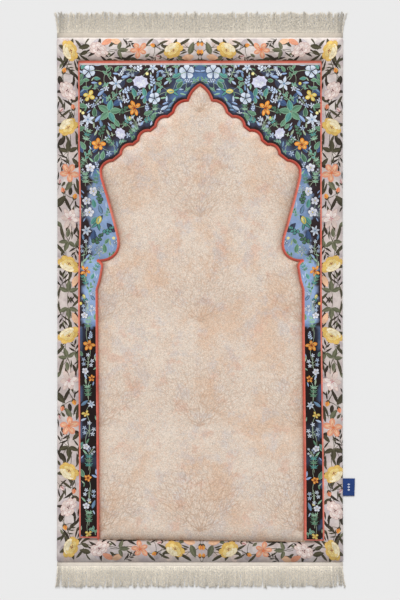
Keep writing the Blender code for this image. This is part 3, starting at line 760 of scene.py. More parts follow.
def reliefAt(p):              # the padded face's height, and the painted shade laid in and beside the sewn lines
    x, y = p[:, 0], p[:, 1]
    toNiche = farFrom(p, nicheLine) * np.where(inside(p, nicheLine), -1, 1)
    toFrame = farFrom(p, frameLine, True) * np.where(inside(p, frameLine), 1, -1)
    toEdge = farFrom(p, edgeRing, True)
    toNiche = toNiche - face["nicheCrease"] - sewing["nicheWander"] * cloud(x, y, 150, 31)
    atHead = np.clip((y - 500) / 40, 0, 1)
    wander = sewing["frameWander"] * cloud(x, y, 420, 32) * (1 - atHead)
    toFrame = toFrame - (wander - sewing["headShift"] * atHead)
    toSeam = np.minimum(np.abs(toFrame), np.abs(toNiche))
    onField = (toNiche < 0) & (toFrame > 0)
    border = np.minimum(raised(face["rim"], face["border"], toEdge, face["borderReach"]),
                        raised(face["channel"], face["border"], np.abs(toFrame), face["borderReach"]))
    garden = raised(face["channel"], face["garden"], toSeam, face["gardenReach"])
    field = raised(face["channel"], face["field"], toSeam, face["fieldReach"])
    z = np.where(onField, field, np.where(toFrame > 0, garden, border))
    crease = np.exp(-(toSeam / sewing["creaseHalf"]) ** 2)
    near = np.exp(-toSeam / sewing["puckerReach"])
    pucker = sewing["pucker"] * near * (1 - crease) * cloud(x, y, 15, 33) * np.clip(toEdge / 6, 0, 1)
    hills = sewing["hills"] * cloud(x, y, 170, 34) + sewing["smallHills"] * cloud(x, y, 60, 35)
    hills = hills * np.clip(toEdge / 14, 0, 1) * (1 - near)
    # painted shade, laid into the colour: in the creases, in the hollows beside the sewn lines, along the head
    # border's lower slope and over the field's foot
    onSide = (np.abs(x) > sideLine - 14) * np.interp(np.abs(y), (470, 530), (1.0, 0.0))
    lighter = np.interp(x, (-60, 60), (0.0, sewing["rightLighter"])) * np.interp(y, (-20, 40), (1.0, 0.0))
    deep = np.interp(y, *sewing["fieldShade"]) * (1 - lighter)
    around = (sewing["besideShade"] - sewing["sideLighter"] * onSide) * np.exp(-toSeam / sewing["besideReach"])
    fromHead = (y - headLine - sewing["headAt"]) / sewing["headReach"]
    around = around + sewing["headShade"] * np.exp(-fromHead ** 2)
    hollow = np.where(onField, deep * np.exp(-toSeam / sewing["fieldReach"]), around) * (1 - crease)
    hollow = hollow + sewing["footShade"] * onField * np.exp(-(y - footLine) / sewing["footReach"])
    atFoot = y < footLine + sewing["footCreaseTo"]
    shade = crease * (1 - sewing["sideCrease"] * onSide + sewing["footCrease"] * atFoot)
    # a strong painted shade over the head's red line and its crease
    up = y - headLine - sewing["underHeadAt"]
    reach = np.where(y > headLine + sewing["underHeadAt"], sewing["underHeadUp"], sewing["underHeadDown"])
    underHead = sewing["underHead"] * np.exp(-(up / reach) ** 2) * (np.abs(x) < sideLine + 2)
    height = z - face["groove"] * crease + pucker + hills
    return height, np.column_stack((np.maximum(shade, underHead), hollow, np.zeros(len(p))))


def loosePoints():            # rows beside the sewn lines and the edge, and a grid between them
    rows = []
    for line, closed, offsets, firm in ((nicheLine, False, face["nicheRows"], 6),
                                        (frameLine, True, face["frameRows"], 6),
                                        (edgeRing, True, face["edgeRows"], 3)):
        for offset in offsets:
            row = besideLine(line, offset, closed)
            row = row[farFrom(row, line, closed) > 0.93 * abs(offset) - 0.01]
            rows.append(np.column_stack((row, np.full(len(row), float(abs(offset) > firm)))))
    w, h = mat["width"] / 2, mat["length"] / 2
    for step, wanted, room in ((face["fieldGrid"], True, 24), (face["printGrid"], False, 16)):
        i, j = np.meshgrid(*(np.arange(-int(far / step), int(far / step) + 1) for far in (w, h)))
        grid = np.stack(((i + 0.5 * (j % 2)).ravel() * step, j.ravel() * step * 0.94), 1)
        grid = grid[inside(grid, nicheLine) == wanted]
        clear = np.minimum(farFrom(grid, nicheLine), farFrom(grid, frameLine, True))
        grid = grid[np.minimum(clear, farFrom(grid, edgeRing, True)) > room]
        rows.append(np.column_stack((grid, np.ones(len(grid)))))
    loose = np.concatenate(rows)
    return loose[inside(loose[:, :2], edgeRing)]


outerLabel, headHighlightLabel, fieldLabel, bandLabel, gardenLabel, borderLabel = -6, -5, -4, -3, -2, -1


def labelled(middle, covers):     # what is printed on each small triangle: a shape's number or a ground
    x, y = np.abs(middle[:, 0]), middle[:, 1]
    toNiche = farFrom(middle, nicheLine)
    red = (toNiche < face["nicheBand"]) & (y > face["columnFoot"] - 3)
    red |= farFrom(middle, bandLine) < face["frameBand"]
    red |= (x < sideLine) & (np.abs(y - headLine) < face["headBand"])
    label = np.where(inside(middle, printRing), gardenLabel, borderLabel)
    label[inside(middle, nicheLine)] = fieldLabel
    label[red] = bandLabel
    # a painted highlight: the strip along the head's top edge, where the mat faces the lamp, gets a pale tone
    # of its own
    label[y > face["hemLine"]] = headHighlightLabel
    label[~inside(middle, edgeRing)] = outerLabel
    keyed = (toNiche < face["keyline"]) & (y > face["keyFrom"]) & (label == gardenLabel)
    zoneNumber = {"garden": gardenLabel, "border": borderLabel}
    zoneOf = [zoneNumber[shape["zone"]] for shape in shapes]
    for k in np.flatnonzero(((label == gardenLabel) | (label == borderLabel)) & ~keyed):
        label[k] = max((cover for cover in covers[k] if zoneOf[cover] == label[k]), default=label[k])
    return label


def shownLines(flat, faces, label):     # the edges where two prints meet, each with what lies on its left
    pairs = np.concatenate([faces[:, (k, (k + 1) % 3)] for k in range(3)])
    left = np.tile(label, 3)
    n = len(flat)
    key = pairs[:, 0] * n + pairs[:, 1]
    order = np.argsort(key)
    back = pairs[:, 1] * n + pairs[:, 0]
    spot = np.minimum(np.searchsorted(key[order], back), len(key) - 1)
    found = key[order][spot] == back
    right = np.where(found, left[order][spot], outerLabel)
    shown = left != right
    edges = {(a, b): l for (a, b), l in zip(pairs[shown].tolist(), left[shown].tolist())}
    for (a, b) in list(edges):
        edges.setdefault((b, a), outerLabel)
    ahead = {}
    for a, b in edges:
        ahead.setdefault(a, []).append(b)
    slack = {}
    for v in list(ahead):         # a point that hardly bends its line is left out
        if len(ahead[v]) != 2:
            continue
        a, c = ahead[v]
        left, right = edges[(a, v)], edges[(v, a)]
        if left != edges[(v, c)] or right != edges[(c, v)] or min(left, right) <= bandLabel or (a, c) in edges:
            continue
        (ax, ay), (vx, vy), (cx, cy) = flat[a], flat[v], flat[c]
        chord = math.hypot(cx - ax, cy - ay)
        off = abs((vx - ax) * (cy - ay) - (vy - ay) * (cx - ax)) / (chord + 1e-9)
        off += max(slack.get((min(a, v), max(a, v)), 0), slack.get((min(v, c), max(v, c)), 0))
        if off > face["lineSlack"] or chord > face["longest"]:
            continue
        for gone in ((a, v), (v, a), (v, c), (c, v)):
            edges.pop(gone)
        edges[(a, c)], edges[(c, a)] = left, right
        slack[(min(a, c), max(a, c))] = off
        ahead[a][ahead[a].index(v)] = c
        ahead[c][ahead[c].index(v)] = a
        ahead[v] = []
    return edges


def spreadLabels(faces, edges, count, outIndex):     # a region of the second cut is labelled by its edges
    pairs = np.stack([faces[:, (k, (k + 1) % 3)] for k in range(3)], 1)
    key = pairs[:, :, 0] * count + pairs[:, :, 1]
    known = np.array(sorted((outIndex[a] * count + outIndex[b], l) for (a, b), l in edges.items()))
    spot = np.minimum(np.searchsorted(known[:, 0], key), len(known) - 1)
    isLine = known[spot, 0] == key
    unset = -99
    label = np.full(len(faces), unset)
    for k in range(3):
        label = np.where((label == unset) & isLine[:, k], known[spot[:, k], 1], label)
    flatKey = key.ravel()
    order = np.argsort(flatKey)
    back = (pairs[:, :, 1] * count + pairs[:, :, 0]).ravel()
    where = np.minimum(np.searchsorted(flatKey[order], back), len(flatKey) - 1)
    neighbour = np.where(flatKey[order][where] == back, order[where] // 3, -1).reshape(-1, 3)
    neighbour[isLine] = -1
    for _ in range(400):
        open_ = np.flatnonzero(label == unset)
        if not len(open_):
            break
        for k in range(3):
            other = neighbour[open_, k]
            value = np.where(other >= 0, label[other], unset)
            label[open_] = np.where(label[open_] == unset, value, label[open_])
    return label


def cut(points, edges, outlines, kind, slack):    # triangles whose sides follow the given lines
    made = delaunay_2d_cdt([Vector(p) for p in points.tolist()], edges, outlines, kind, slack)
    return np.array([tuple(v) for v in made[0]]), np.array(made[2]), made[3], made[5]


def cutFace():                # the outlines are cut against each other, then only the lines that show are kept
    points, edges, outlines = [], [], []
    first = 0
    half = mat["width"] / 2 + 5
    keyRow = besideLine(nicheLine, face["keyline"])
    clear = farFrom(keyRow, nicheLine) > 0.98 * face["keyline"]
    keyRow = keyRow[clear & (keyRow[:, 1] > face["keyFrom"] - 12)]
    lines = [edgeRing, nicheLine, frameLine]
    lines += [resampled([(-half, face["hemLine"]), (half, face["hemLine"])], face["edgeStep"])]
    lines += [[(-sideLine, headLine + side * face["headBand"]), (sideLine, headLine + side * face["headBand"])]
              for side in (-1, 1)]
    lines += [keyRow]
    for side in (-1, 1):
        lines += [besideLine(line, side * face[band])
                  for line, band in ((nicheLine, "nicheBand"), (bandLine, "frameBand"))]
    for k, line in enumerate(lines):
        n = len(line)
        points.append(np.asarray(line, float))
        edges += [(first + k, first + k + 1) for k in range(n - 1)]
        if k in (0, 2):       # the edge and the frame are closed
            edges.append((first + n - 1, first))
        first += n
    for shape in shapes:
        outline = drifted(shape["outline"])
        ahead = np.roll(outline, -1, axis=0)
        if (outline[:, 0] * ahead[:, 1] - outline[:, 1] * ahead[:, 0]).sum() < 0:    # all run anticlockwise
            outline = outline[::-1]
        points.append(outline)
        outlines.append(list(range(first, first + len(outline))))
        first += len(outline)
    flat, faces, _, covers = cut(np.concatenate(points), edges, outlines, 1, 2e-3)
    print("rug: print cut into", len(faces), "pieces")
    lines = shownLines(flat, faces, labelled(flat[faces].mean(axis=1), covers))
    used = sorted({v for edge in lines for v in edge})
    short = {v: k for k, v in enumerate(used)}
    lines = {(short[a], short[b]): l for (a, b), l in lines.items()}
    base = flat[used]
    loose = loosePoints()
    cell = lambda p: np.floor(p / face["spare"]).astype(int) @ (1, 4096)
    crowded = np.isin(cell(loose[:, :2]), cell(base)) & (loose[:, 2] > 0)
    loose = loose[~crowded, :2]
    flat, faces, sources, _ = cut(np.concatenate((base, loose)), [e for e in lines if e[0] < e[1]], [], 0, 1e-4)
    outIndex = np.zeros(len(base) + len(loose), int)
    for k, given in enumerate(sources):
        outIndex[given] = k
    label = spreadLabels(faces, lines, len(flat), outIndex)
    keep = label > outerLabel
    print("rug: face cut into", int(keep.sum()), "triangles")
    return flat, faces[keep], label[keep]


def linear(tone):             # a tone's hex digits as the colour a shader takes
    s = np.array([int(tones.get(tone, tone)[k:k + 2], 16) for k in (0, 2, 4)]) / 255
    return np.where(s <= 0.04045, s / 12.92, ((s + 0.055) / 1.055) ** 2.4)


def mixed(a, b, share):
    return linear(a) * (1 - share[:, None]) + linear(b) * share[:, None]


def groundAt(p, zone):        # the ground colour of the border or the garden, washed on unevenly, and a painted highlight on the head border's upper part
    x, y = np.abs(p[:, 0]), p[:, 1]
    if zone == "garden":
        share = blueness(np.stack((x, y), 1))[:, None]
        sky = np.clip((ground["archFrom"] - y) / 40, 0, 1) * np.clip((y - ground["skyFrom"]) / 40, 0, 1)
        blue = mixed("denim", "sky", np.clip(sky + 0.25 * cloud(x, y, 50, 41), 0, 1))
        dark = mixed("damson", "plum", np.clip((y - ground["plumFrom"]) / 60, 0, 1))
        return dark * (1 - share) + blue * share
    y = np.abs(y)
    body = mixed("sand", "mauve", np.clip(0.5 + 0.8 * cloud(x, y, 64, 42), 0, 1))
    # the cream wash is print; above y 560 it is raised for a painted highlight on the head border's upper
    # slope, which faces the lamp
    creamWashAndHighlight = np.clip(0.22 + 0.6 * cloud(x, y, 44, 43) + 0.5 * (p[:, 1] > 560), 0, 1)[:, None]
    return body * (1 - creamWashAndHighlight) + linear("cream") * creamWashAndHighlight


def paintFace(flat, faces, label):       # each corner's colour, where it lies in its petal, and the look
    corner = flat[faces]
    tint = np.ones((len(faces), 3, 3))
    place = np.zeros((len(faces), 3, 3))
    for zone, number in (("garden", gardenLabel), ("border", borderLabel)):
        chosen = label == number
        tint[chosen] = groundAt(corner[chosen].reshape(-1, 2), zone).reshape(-1, 3, 3)
    # the painted highlight along the head's top edge
    tint[label == headHighlightLabel] = linear("hem")
    printed = label >= 0
    shown = label[printed]
    tint[printed] = np.array([linear(shape["tone"]) * shape["shade"] for shape in shapes])[shown][:, None, :]
    x, y, turn, long, wide = np.array([shape["place"] for shape in shapes])[shown].T
    away = corner[printed] - drifted(np.stack((x, y), 1))[:, None, :]
    c, s = np.cos(turn)[:, None], np.sin(turn)[:, None]
    place[printed, :, 0] = (away[:, :, 0] * c + away[:, :, 1] * s) / long[:, None]
    place[printed, :, 1] = (away[:, :, 1] * c - away[:, :, 0] * s) / wide[:, None]
    place[printed, :, 2] = np.array([shape["kind"] for shape in shapes])[shown][:, None]
    inBorderPrint = label == borderLabel
    inBorderPrint[printed] = np.array([shape["zone"] == "border" for shape in shapes])[shown]
    inGardenPrint = ~inBorderPrint & (printed | (label == gardenLabel))
    # the border darker along the sides and darkest at the foot; the garden printed stronger or weaker by height
    for chosen, ink in ((inBorderPrint, face["borderInk"]), (inGardenPrint, face["gardenInk"])):
        tint[chosen] *= np.interp(corner[chosen][:, :, 1], *ink)[:, :, None]
    band = corner[label == bandLabel].reshape(-1, 2)
    onNiche = farFrom(band, nicheLine) < face["nicheBand"] + 0.2
    across = farFrom(band, besideLine(nicheLine, -face["nicheBand"])) / face["nicheBand"] / 2
    share = np.where(onNiche, 0.2 * across + np.interp(band[:, 1], *face["lineFade"]), face["frameFade"])
    share = np.clip(share + 0.25 * cloud(band[:, 0], band[:, 1], 120, 44), 0, 1)
    tint[label == bandLabel] = mixed("red", "salmon", share).reshape(-1, 3, 3)
    return tint, place, np.where(label == fieldLabel, 1, 0)


def placed(name, data):
    made = bpy.data.objects.new(name, data)
    bpy.context.scene.collection.objects.link(made)
    return made


def newPiece(name, verts, faces):        # a smooth mesh object from points in millimetres
    mesh = bpy.data.meshes.new(name)
    mesh.from_pydata((np.asarray(verts) / 1000).tolist(), [], faces)
    mesh.update()
    mesh.shade_smooth()
    return placed(name, mesh), mesh


def setVectors(mesh, name, domain, values):      # numbers on the mesh that its look reads
    made = mesh.attributes.new(name, "FLOAT_VECTOR", domain)
    made.data.foreach_set("vector", np.asarray(values).ravel())


def rimOf(faces, count):      # the face's outer edge as a ring, and the triangle beside each of its points
    sides = np.concatenate([faces[:, (k, (k + 1) % 3)] for k in range(3)])
    owner = np.tile(np.arange(len(faces)), 3)
    _, where, times = np.unique(np.sort(sides, axis=1) @ (count, 1), return_index=True, return_counts=True)
    once = where[times == 1]
    ahead = dict(sides[once].tolist())
    beside = dict(zip(sides[once, 0].tolist(), owner[once].tolist()))
    ring = [int(sides[once[0], 0])]
    while ahead[ring[-1]] != ring[0]:
        ring.append(ahead[ring[-1]])
    print("rug: rim has", len(ring), "points of", len(once))
    return ring, [beside[point] for point in ring]


def buildFace():
    flat, faces, label = cutFace()
    tint, place, slots = paintFace(flat, faces, label)
    used = np.unique(faces)
    renumber = np.full(len(flat), -1)
    renumber[used] = np.arange(len(used))
    flat, faces = flat[used], renumber[faces]
    z, crease = reliefAt(flat)
    verts = [np.column_stack((flat, z))]
    ring, beside = rimOf(faces, len(flat))
    n, total = len(ring), len(flat)
    outline = flat[ring]
    normal = besideLine(outline, 1.0, True) - outline
    walls, before = [], np.array(ring)
    for inward, height in face["rimTurns"]:       # the cloth turns down and under
        verts.append(np.column_stack((outline + normal * inward, np.full(n, height))))
        now = np.arange(total, total + n)
        nextNow, nextBefore = np.roll(now, -1), np.roll(before, -1)
        walls.append(np.stack((before, now, nextNow, before, nextNow, nextBefore), 1).reshape(-1, 3))
        before, total = now, total + n
    walls = np.concatenate(walls)
    wallTint = np.tile(np.repeat(tint[beside].mean(axis=1), 6, axis=0), (len(face["rimTurns"]), 1))
    i, j = np.meshgrid(np.arange(-7, 8), np.arange(-14, 15))
    grid = np.stack((i.ravel() * face["underGrid"], j.ravel() * face["underGrid"]), 1)
    ring = [(k, (k + 1) % n) for k in range(n)]
    base, under, _, _ = cut(np.concatenate((verts[-1][:, :2], grid)), ring, [], 1, 1e-4)
    verts.append(np.column_stack((base[n:], np.zeros(len(base) - n))))
    under = np.concatenate((before, np.arange(len(base) - n) + total))[under[:, ::-1]]
    faceCount, plain = len(faces), len(walls) * 3 + len(under) * 3
    verts, faces = np.concatenate(verts), np.concatenate((faces, walls, under))
    made, mesh = newPiece("paddedMat", verts, faces.tolist())
    tint = np.concatenate((tint.reshape(-1, 3), wallTint, np.ones((len(under) * 3, 3))))
    colour = mesh.color_attributes.new("tint", "FLOAT_COLOR", "CORNER")
    colour.data.foreach_set("color", np.column_stack((tint, np.ones(len(tint)))).ravel())
    setVectors(mesh, "place", "CORNER", np.concatenate((place.reshape(-1, 3), np.zeros((plain, 3)))))
    # the painted shade in and beside the sewn lines, read by the velour looks
    setVectors(mesh, "crease", "POINT", np.concatenate((crease, np.zeros((len(verts) - len(crease), 3)))))
    # the last turn under and the underside are plain cloth
    slots = np.concatenate((slots, np.where(np.arange(len(walls)) < 4 * n, 0, 2), np.full(len(under), 2)))
    mesh.polygons.foreach_set("material_index", slots)
    spread = verts[faces.ravel()]
    onWall = np.zeros(len(faces), bool)
    onWall[faceCount:faceCount + len(walls)] = True
    drop = (face["rim"] - spread[:, 2]).clip(0) * face["mapRim"]
    outward = 1 + np.where(np.repeat(onWall, 3), drop, 0)
    middle = np.where(np.repeat(slots == 2, 3), face["mapUnder"], face["mapFace"])
    u = spread[:, 0] * outward / face["mapSize"] + middle
    uv = mesh.uv_layers.new(name="OFBake")
    uv.data.foreach_set("uv", np.column_stack((u, spread[:, 1] * outward / face["mapSize"] + 0.5)).ravel())
    print("rug: mat has", len(faces), "triangles")
    return made


class Wire:                   # what comes out of a node; a sum on it adds the node that works it out
    def __init__(self, look, socket):
        self.look, self.socket = look, socket

    def math(self, operation, *others):
        return self.look.math(operation, self, *others)

    def __add__(self, other):
        return self.math("ADD", other)

    def __sub__(self, other):
        return self.math("SUBTRACT", other)

    def __mul__(self, other):
        return self.math("MULTIPLY", other)

    def __truediv__(self, other):
        return self.math("DIVIDE", other)

    def sine(self):
        return self.math("SINE")

    def size(self):
        return self.math("ABSOLUTE")

    def ranged(self, low, high, toLow, toHigh, smooth=False):
        return self.look.out("MapRange", {0: self, 1: low, 2: high, 3: toLow, 4: toHigh},
                             interpolation_type="SMOOTHSTEP" if smooth else "LINEAR")


class Look:                   # a material, with short ways to the nodes it is made of
    def __init__(self, name, roughness, sheen=0.0):
        self.material = bpy.data.materials.new(name)
        self.material.use_nodes = True
        self.tree = self.material.node_tree
        self.shader = self.tree.nodes["Principled BSDF"]
        for socket, value in (("Roughness", roughness), ("Specular IOR Level", 0.2), ("Sheen Weight", sheen),
                              ("Sheen Roughness", 0.5)):
            self.shader.inputs[socket].default_value = value
        self.where = self.out("TexCoord", which="Object")

    def put(self, value, socket):
        if isinstance(value, Wire):
            self.tree.links.new(value.socket, socket)
        else:
            socket.default_value = value

    def node(self, kind, inputs=(), **settings):
        made = self.tree.nodes.new("ShaderNode" + kind)
        for name, value in settings.items():
            setattr(made, name, value)
        for socket, value in dict(inputs).items():
            self.put(value, made.inputs[socket])
        return made

    def out(self, kind, inputs=(), which=0, **settings):
        return Wire(self, self.node(kind, inputs, **settings).outputs[which])

    def math(self, operation, *values):
        return self.out("Math", dict(enumerate(values)), operation=operation)

    def vector(self, operation, first, second):
        return self.out("VectorMath", {0: first, 1: second}, operation=operation)

    def scaled(self, colour, value):      # a colour or a place times a number
        return self.out("VectorMath", {0: colour, "Scale": value}, operation="SCALE")

    def parts(self, vector):
        return [Wire(self, socket) for socket in self.node("SeparateXYZ", {0: vector}).outputs]

    def fromMesh(self, name):     # the three numbers that the mesh keeps under this name
        return self.parts(self.out("Attribute", which="Vector", attribute_name=name))

    def noise(self, scale, detail=2.0, rough=0.5, where=None, which=0):
        return self.out("TexNoise", {"Vector": where or self.where, "Scale": scale, "Detail": detail,
                                     "Roughness": rough}, which)

    def blended(self, share, first, second):
        made = self.node("Mix", data_type="RGBA")
        ends = {socket.identifier: socket for socket in (*made.inputs, *made.outputs)}
        for name, value in (("Factor_Float", share), ("A_Color", first), ("B_Color", second)):
            self.put(value, ends[name])
        return Wire(self, ends["Result_Color"])

    def finish(self, colour, height, strength, distance):
        self.put(colour, self.shader.inputs["Base Color"])
        bump = self.out("Bump", {"Height": height, "Strength": strength, "Distance": distance})
        self.put(bump, self.shader.inputs["Normal"])
        return self


def tinted(tone):
    return (*linear(tone).tolist(), 1.0)


# the velour's wash, speckle, streaks and brush marks, the painted shade in the creases and hollows and its
# brown tint, the pile, its roughness and sheen
velour = {
    "wash": 0.16, "speckle": 0.10, "streak": 0.20, "crease": 0.62, "hollow": 0.38, "brush": 0.10,
    "creaseTint": (0.42, 0.28, 0.18), "nap": 0.35, "napDepth": 0.0007, "roughness": 0.86, "sheen": 0.12,
}


def napped(look, colour):     # painted shade, brown, in and beside the sewn lines, and a short cut pile
    crease, hollow, _ = look.fromMesh("crease")
    share = (crease * velour["crease"] + hollow * velour["hollow"]).math("MINIMUM", 1.0)
    colour = look.blended(share, colour, look.vector("MULTIPLY", colour, velour["creaseTint"]))
    pile = look.noise(900.0, 3.0, 0.7) * 0.6 + look.noise(260.0, 2.0, 0.6) * 0.4
    return look.finish(colour, pile, velour["nap"], velour["napDepth"]).material


def printedVelour():
    look = Look("printedVelour", velour["roughness"], velour["sheen"])
    tint = look.out("Attribute", which="Color", attribute_name="tint")
    u, v, kind = look.fromMesh("place")      # along and across a petal or leaf, and which of them it is
    isPetal, isLeaf = kind.math("COMPARE", 1.0, 0.3), kind.math("COMPARE", 2.0, 0.3)
    along = look.out("CombineXYZ", {0: v * 3.2, 1: u * 0.7, 2: look.noise(45.0, 0.0)})
    streak = look.noise(2.4, 2.0, 0.6, along).ranged(0.3, 0.7, 1 - velour["streak"], 1.06)
    petalShade = streak * u.ranged(0.0, 0.9, 0.90, 1.05)
    rib = v.size().ranged(0.06, 0.17, 1.32, 1.0)
    veins = ((u - v.size() * 0.16) * 34.0).sine().ranged(0.7, 1.0, 1.0, 1.14)
    leafShade = v.ranged(-0.05, 0.05, 1.10, 0.84) * rib * veins
    shade = isPetal * (petalShade - 1.0) + isLeaf * (leafShade - 1.0) + 1.0
    shade = shade * look.noise(42.0, 3.0).ranged(0.25, 0.75, 1 - velour["wash"], 1 + velour["wash"] * 0.7)
    for scale, rough, low, vary in ((620.0, 0.75, 0.2, velour["speckle"]),
                                    (150.0, 0.6, 0.3, velour["brush"])):
        shade = shade * look.noise(scale, 3.0, rough).ranged(low, 1 - low, 1 - vary, 1 + vary)
    return napped(look, look.scaled(tint, shade))


# the middle: fans of fine coral branches, barely off the ground's colour, over a mottled cream cloth
fieldPrint = {
    "pale": "e2d3c4", "warm": "dbb79a", "rosy": "d9b3a0", "grey": "cdc6c4", "twig": "a88468",
    "warmFleck": "d99f7c", "coolFleck": "b9bcb6",
    # each mottling: tone, how it is turned, scale, detail, roughness, from, to, how strong
    "mottling": (("warm", None, 9.0, 5.0, 0.68, 0.46, 0.64, 0.62),
                 ("rosy", -1.3, 17.0, 4.0, 0.65, 0.54, 0.66, 0.60),
                 ("grey", -1.7, 15.0, 4.0, 0.7, 0.50, 0.64, 0.55)),
    # each order of branches: how many, how long, how thick in metres, and where they fade in and out
    "branches": ((3.6, 1.0, 0.0008, ((0.03, 0.15, 1.0, 0.0),)),
                 (8.0, 2.4, 0.0006, ((0.012, 0.04, 0.0, 0.85), (0.10, 0.18, 1.0, 0.0))),
                 (17.0, 6.0, 0.0005, ((0.03, 0.08, 0.0, 0.7), (0.14, 0.20, 1.0, 0.0)))),
    "branch": 0.54, "footBranch": 0.68, "twigs": 0.56, "speckle": 0.35, "fleck": 0.46, "footShade": 0.965,
    "across": 0.229, "up": 0.240, "rootY": -0.052, "rootLow": 0.022, "jitter": 0.011,
}


def cracks(look, where, scale):      # how far a point is from the lines between cells
    return look.out("TexVoronoi", {"Vector": where, "Scale": scale}, "Distance", feature="DISTANCE_TO_EDGE",
                    voronoi_dimensions="2D")


def coral(look):              # branches fan out from each root and part again and again
    jitter = look.vector("SUBTRACT", look.noise(55.0, 3.0, which="Color"), (0.5, 0.5, 0.5))
    bent = look.vector("ADD", look.scaled(jitter, fieldPrint["jitter"]), look.where)
    x, y, _ = look.parts(bent)
    wide, tall, low = fieldPrint["across"], fieldPrint["up"], fieldPrint["rootLow"]
    x = x.math("WRAP", wide / 2, -wide / 2)
    y = (y - fieldPrint["rootY"]).math("WRAP", tall - low, -low)
    radius = (x * x + y * y).math("SQRT")
    angle = x.math("ARCTAN2", y)
    depth = (radius + 0.004).math("LOGARITHM", 2.718)
    total = 0.0
    for turns, long, thick, (fadeIn, *fadeOut) in fieldPrint["branches"]:
        fan = look.out("CombineXYZ", {0: angle * turns, 1: depth * long})
        gap = cracks(look, fan, 1.0) * (radius / turns)
        fade = radius.ranged(*fadeIn)
        for ends in fadeOut:
            fade = fade * radius.ranged(*ends)
        total = look.math("MAXIMUM", total, gap.ranged(thick * 0.35, thick * 1.5, 1.0, 0.0) * fade)
    edge = x.size().ranged(wide * 0.40, wide * 0.5, 1.0, 0.35)
    return total * angle.size().ranged(0.9, 1.6, 1.0, 0.0) * edge, bent


def fieldVelour():
    look = Look("fieldVelour", velour["roughness"], velour["sheen"])
    colour = tinted(fieldPrint["pale"])
    for tone, turned, scale, detail, rough, low, high, most in fieldPrint["mottling"]:
        where = look.scaled(look.where, turned) if turned else None
        share = look.noise(scale, detail, rough, where).ranged(low, high, 0.0, most, True)
        colour = look.blended(share, colour, tinted(fieldPrint[tone]))
    branch, bent = coral(look)
    up = look.parts(look.where)[1]
    branch = branch * up.ranged(-0.36, -0.26, fieldPrint["footBranch"], fieldPrint["branch"])
    fine = cracks(look, bent, 250.0).ranged(0.0, 0.13, 1.0, 0.0) * fieldPrint["twigs"]
    fine = fine * look.noise(30.0).ranged(0.35, 0.6, 0.25, 1.0)
    colour = look.blended(branch.math("MAXIMUM", fine), colour, tinted(fieldPrint["twig"]))
    for turned, tone in ((2.1, "warmFleck"), (-2.9, "coolFleck")):       # fine warm and cool flecks
        fleck = look.noise(120.0, 3.0, 0.8, look.scaled(look.where, turned))
        share = fleck.ranged(0.50, 0.72, 0.0, fieldPrint["fleck"])
        colour = look.blended(share, colour, tinted(fieldPrint[tone]))
    vary = fieldPrint["speckle"]
    shade = look.noise(300.0, 4.0, 0.85).ranged(0.25, 0.75, 1 - vary, 1 + vary)
    # the field painted darker towards the foot: painted shade
    return napped(look, look.scaled(colour, shade * up.ranged(-0.5, 0.15, fieldPrint["footShade"], 1.0)))


def woven(name, tone, pitchX, pitchY, roughness, depth, vary, shadeFrom=None):       # over-and-under weave
    look = Look(name, roughness, 0.1)
    x, y, _ = look.parts(look.where)
    height = (x * (2 * math.pi / pitchX)).sine() * (y * (2 * math.pi / pitchY)).sine()
    # painted shade: the cloth darker where the weave dips
    shade = height.ranged(-1.0, 1.0, 1 - vary, 1 + vary * 0.5)
    shade = shade + look.noise(60.0, 4.0, 0.7).ranged(0.2, 0.8, -vary, vary)
    if shadeFrom:
        shade = shade * look.fromMesh(shadeFrom)[2]
    colour = look.scaled(tinted(tone)[:3], shade)
    return look.finish(colour, height, 0.5, depth), colour, x, y


backing = {"tone": "cfc5b8", "threads": (0.0022, 0.0022)}
paddedMat = buildFace()
paddedMat.data.materials.append(printedVelour())
paddedMat.data.materials.append(fieldVelour())
backingLook = woven("plainBacking", backing["tone"], *backing["threads"], 0.9, 0.0003, 0.10)[0]
paddedMat.data.materials.append(backingLook.material)
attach(paddedMat, "root")
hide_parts("mat")
print("rug: padded mat done")

# a fringe at each end: a ribbed woven tape and loose yarns that gather into locks towards their tips
fringe = {
    "gap": 0.6, "inset": 0.5, "tapeDepth": 11.0, "tapeTrim": 0.6, "tapeHeight": 2.2, "ribs": 290,
    "ribCut": 0.08, "section": ((0.0, 0.0), (0.0, 0.8), (0.1, 0.97), (0.4, 1.0), (0.7, 0.98), (0.88, 0.90),
                                (1.0, 0.5), (1.0, 0.0)),
    "yarns": 580, "yarnLength": 47.5, "yarnVary": 2.2, "yarnThick": 1.5, "tipThick": 1.25, "yarnSides": 5,
    "tucked": 1.6, "steps": 20, "rest": 0.42, "layers": (0.08, 0.5), "hump": 0.75, "crimp": 1.1, "slub": 0.16,
    "lockYarns": (4, 8), "gather": 0.20, "cornerGather": 0.62, "flare": 8.5, "flareReach": 20.0,
    "cornerReach": 36.0, "sway": 3.0, "tuftEvery": (22, 38), "tuftHalf": 2.4, "tuftDark": 0.36, "tipDark": 0.06,
    "cornerDark": 0.34, "endDark": 0.38, "endReach": 9.0, "footLift": 0.16,
    "tone": "fdf4e4", "tapeTone": ("dcd1c2", "e8ded1"), "tapePitch": (0.00226, 0.0011),
}


def yarnPath(x, y, toX, length, layer, rng):
    points = []
    waves = [(rng.uniform(0, 6.28), rng.uniform(16, 42), rng.uniform(0.3, 1.0)) for _ in range(3)]
    lift = fringe["layers"][0] + fringe["layers"][1] * layer
    for k in range(fringe["steps"] + 1):
        t = k / fringe["steps"]
        wobble = fringe["crimp"] * sum(size * math.sin(phase + speed * t) for phase, speed, size in waves)
        hump = fringe["hump"] * abs(math.sin(waves[0][0] + waves[1][1] * t)) * min(1, 3 * t)
        points.append((x + (toX - x) * t ** 1.6 + wobble * min(1, 3 * t), y + length * t,
                       fringe["rest"] + lift * min(1, 4 * t) + hump))
    return np.array(points)


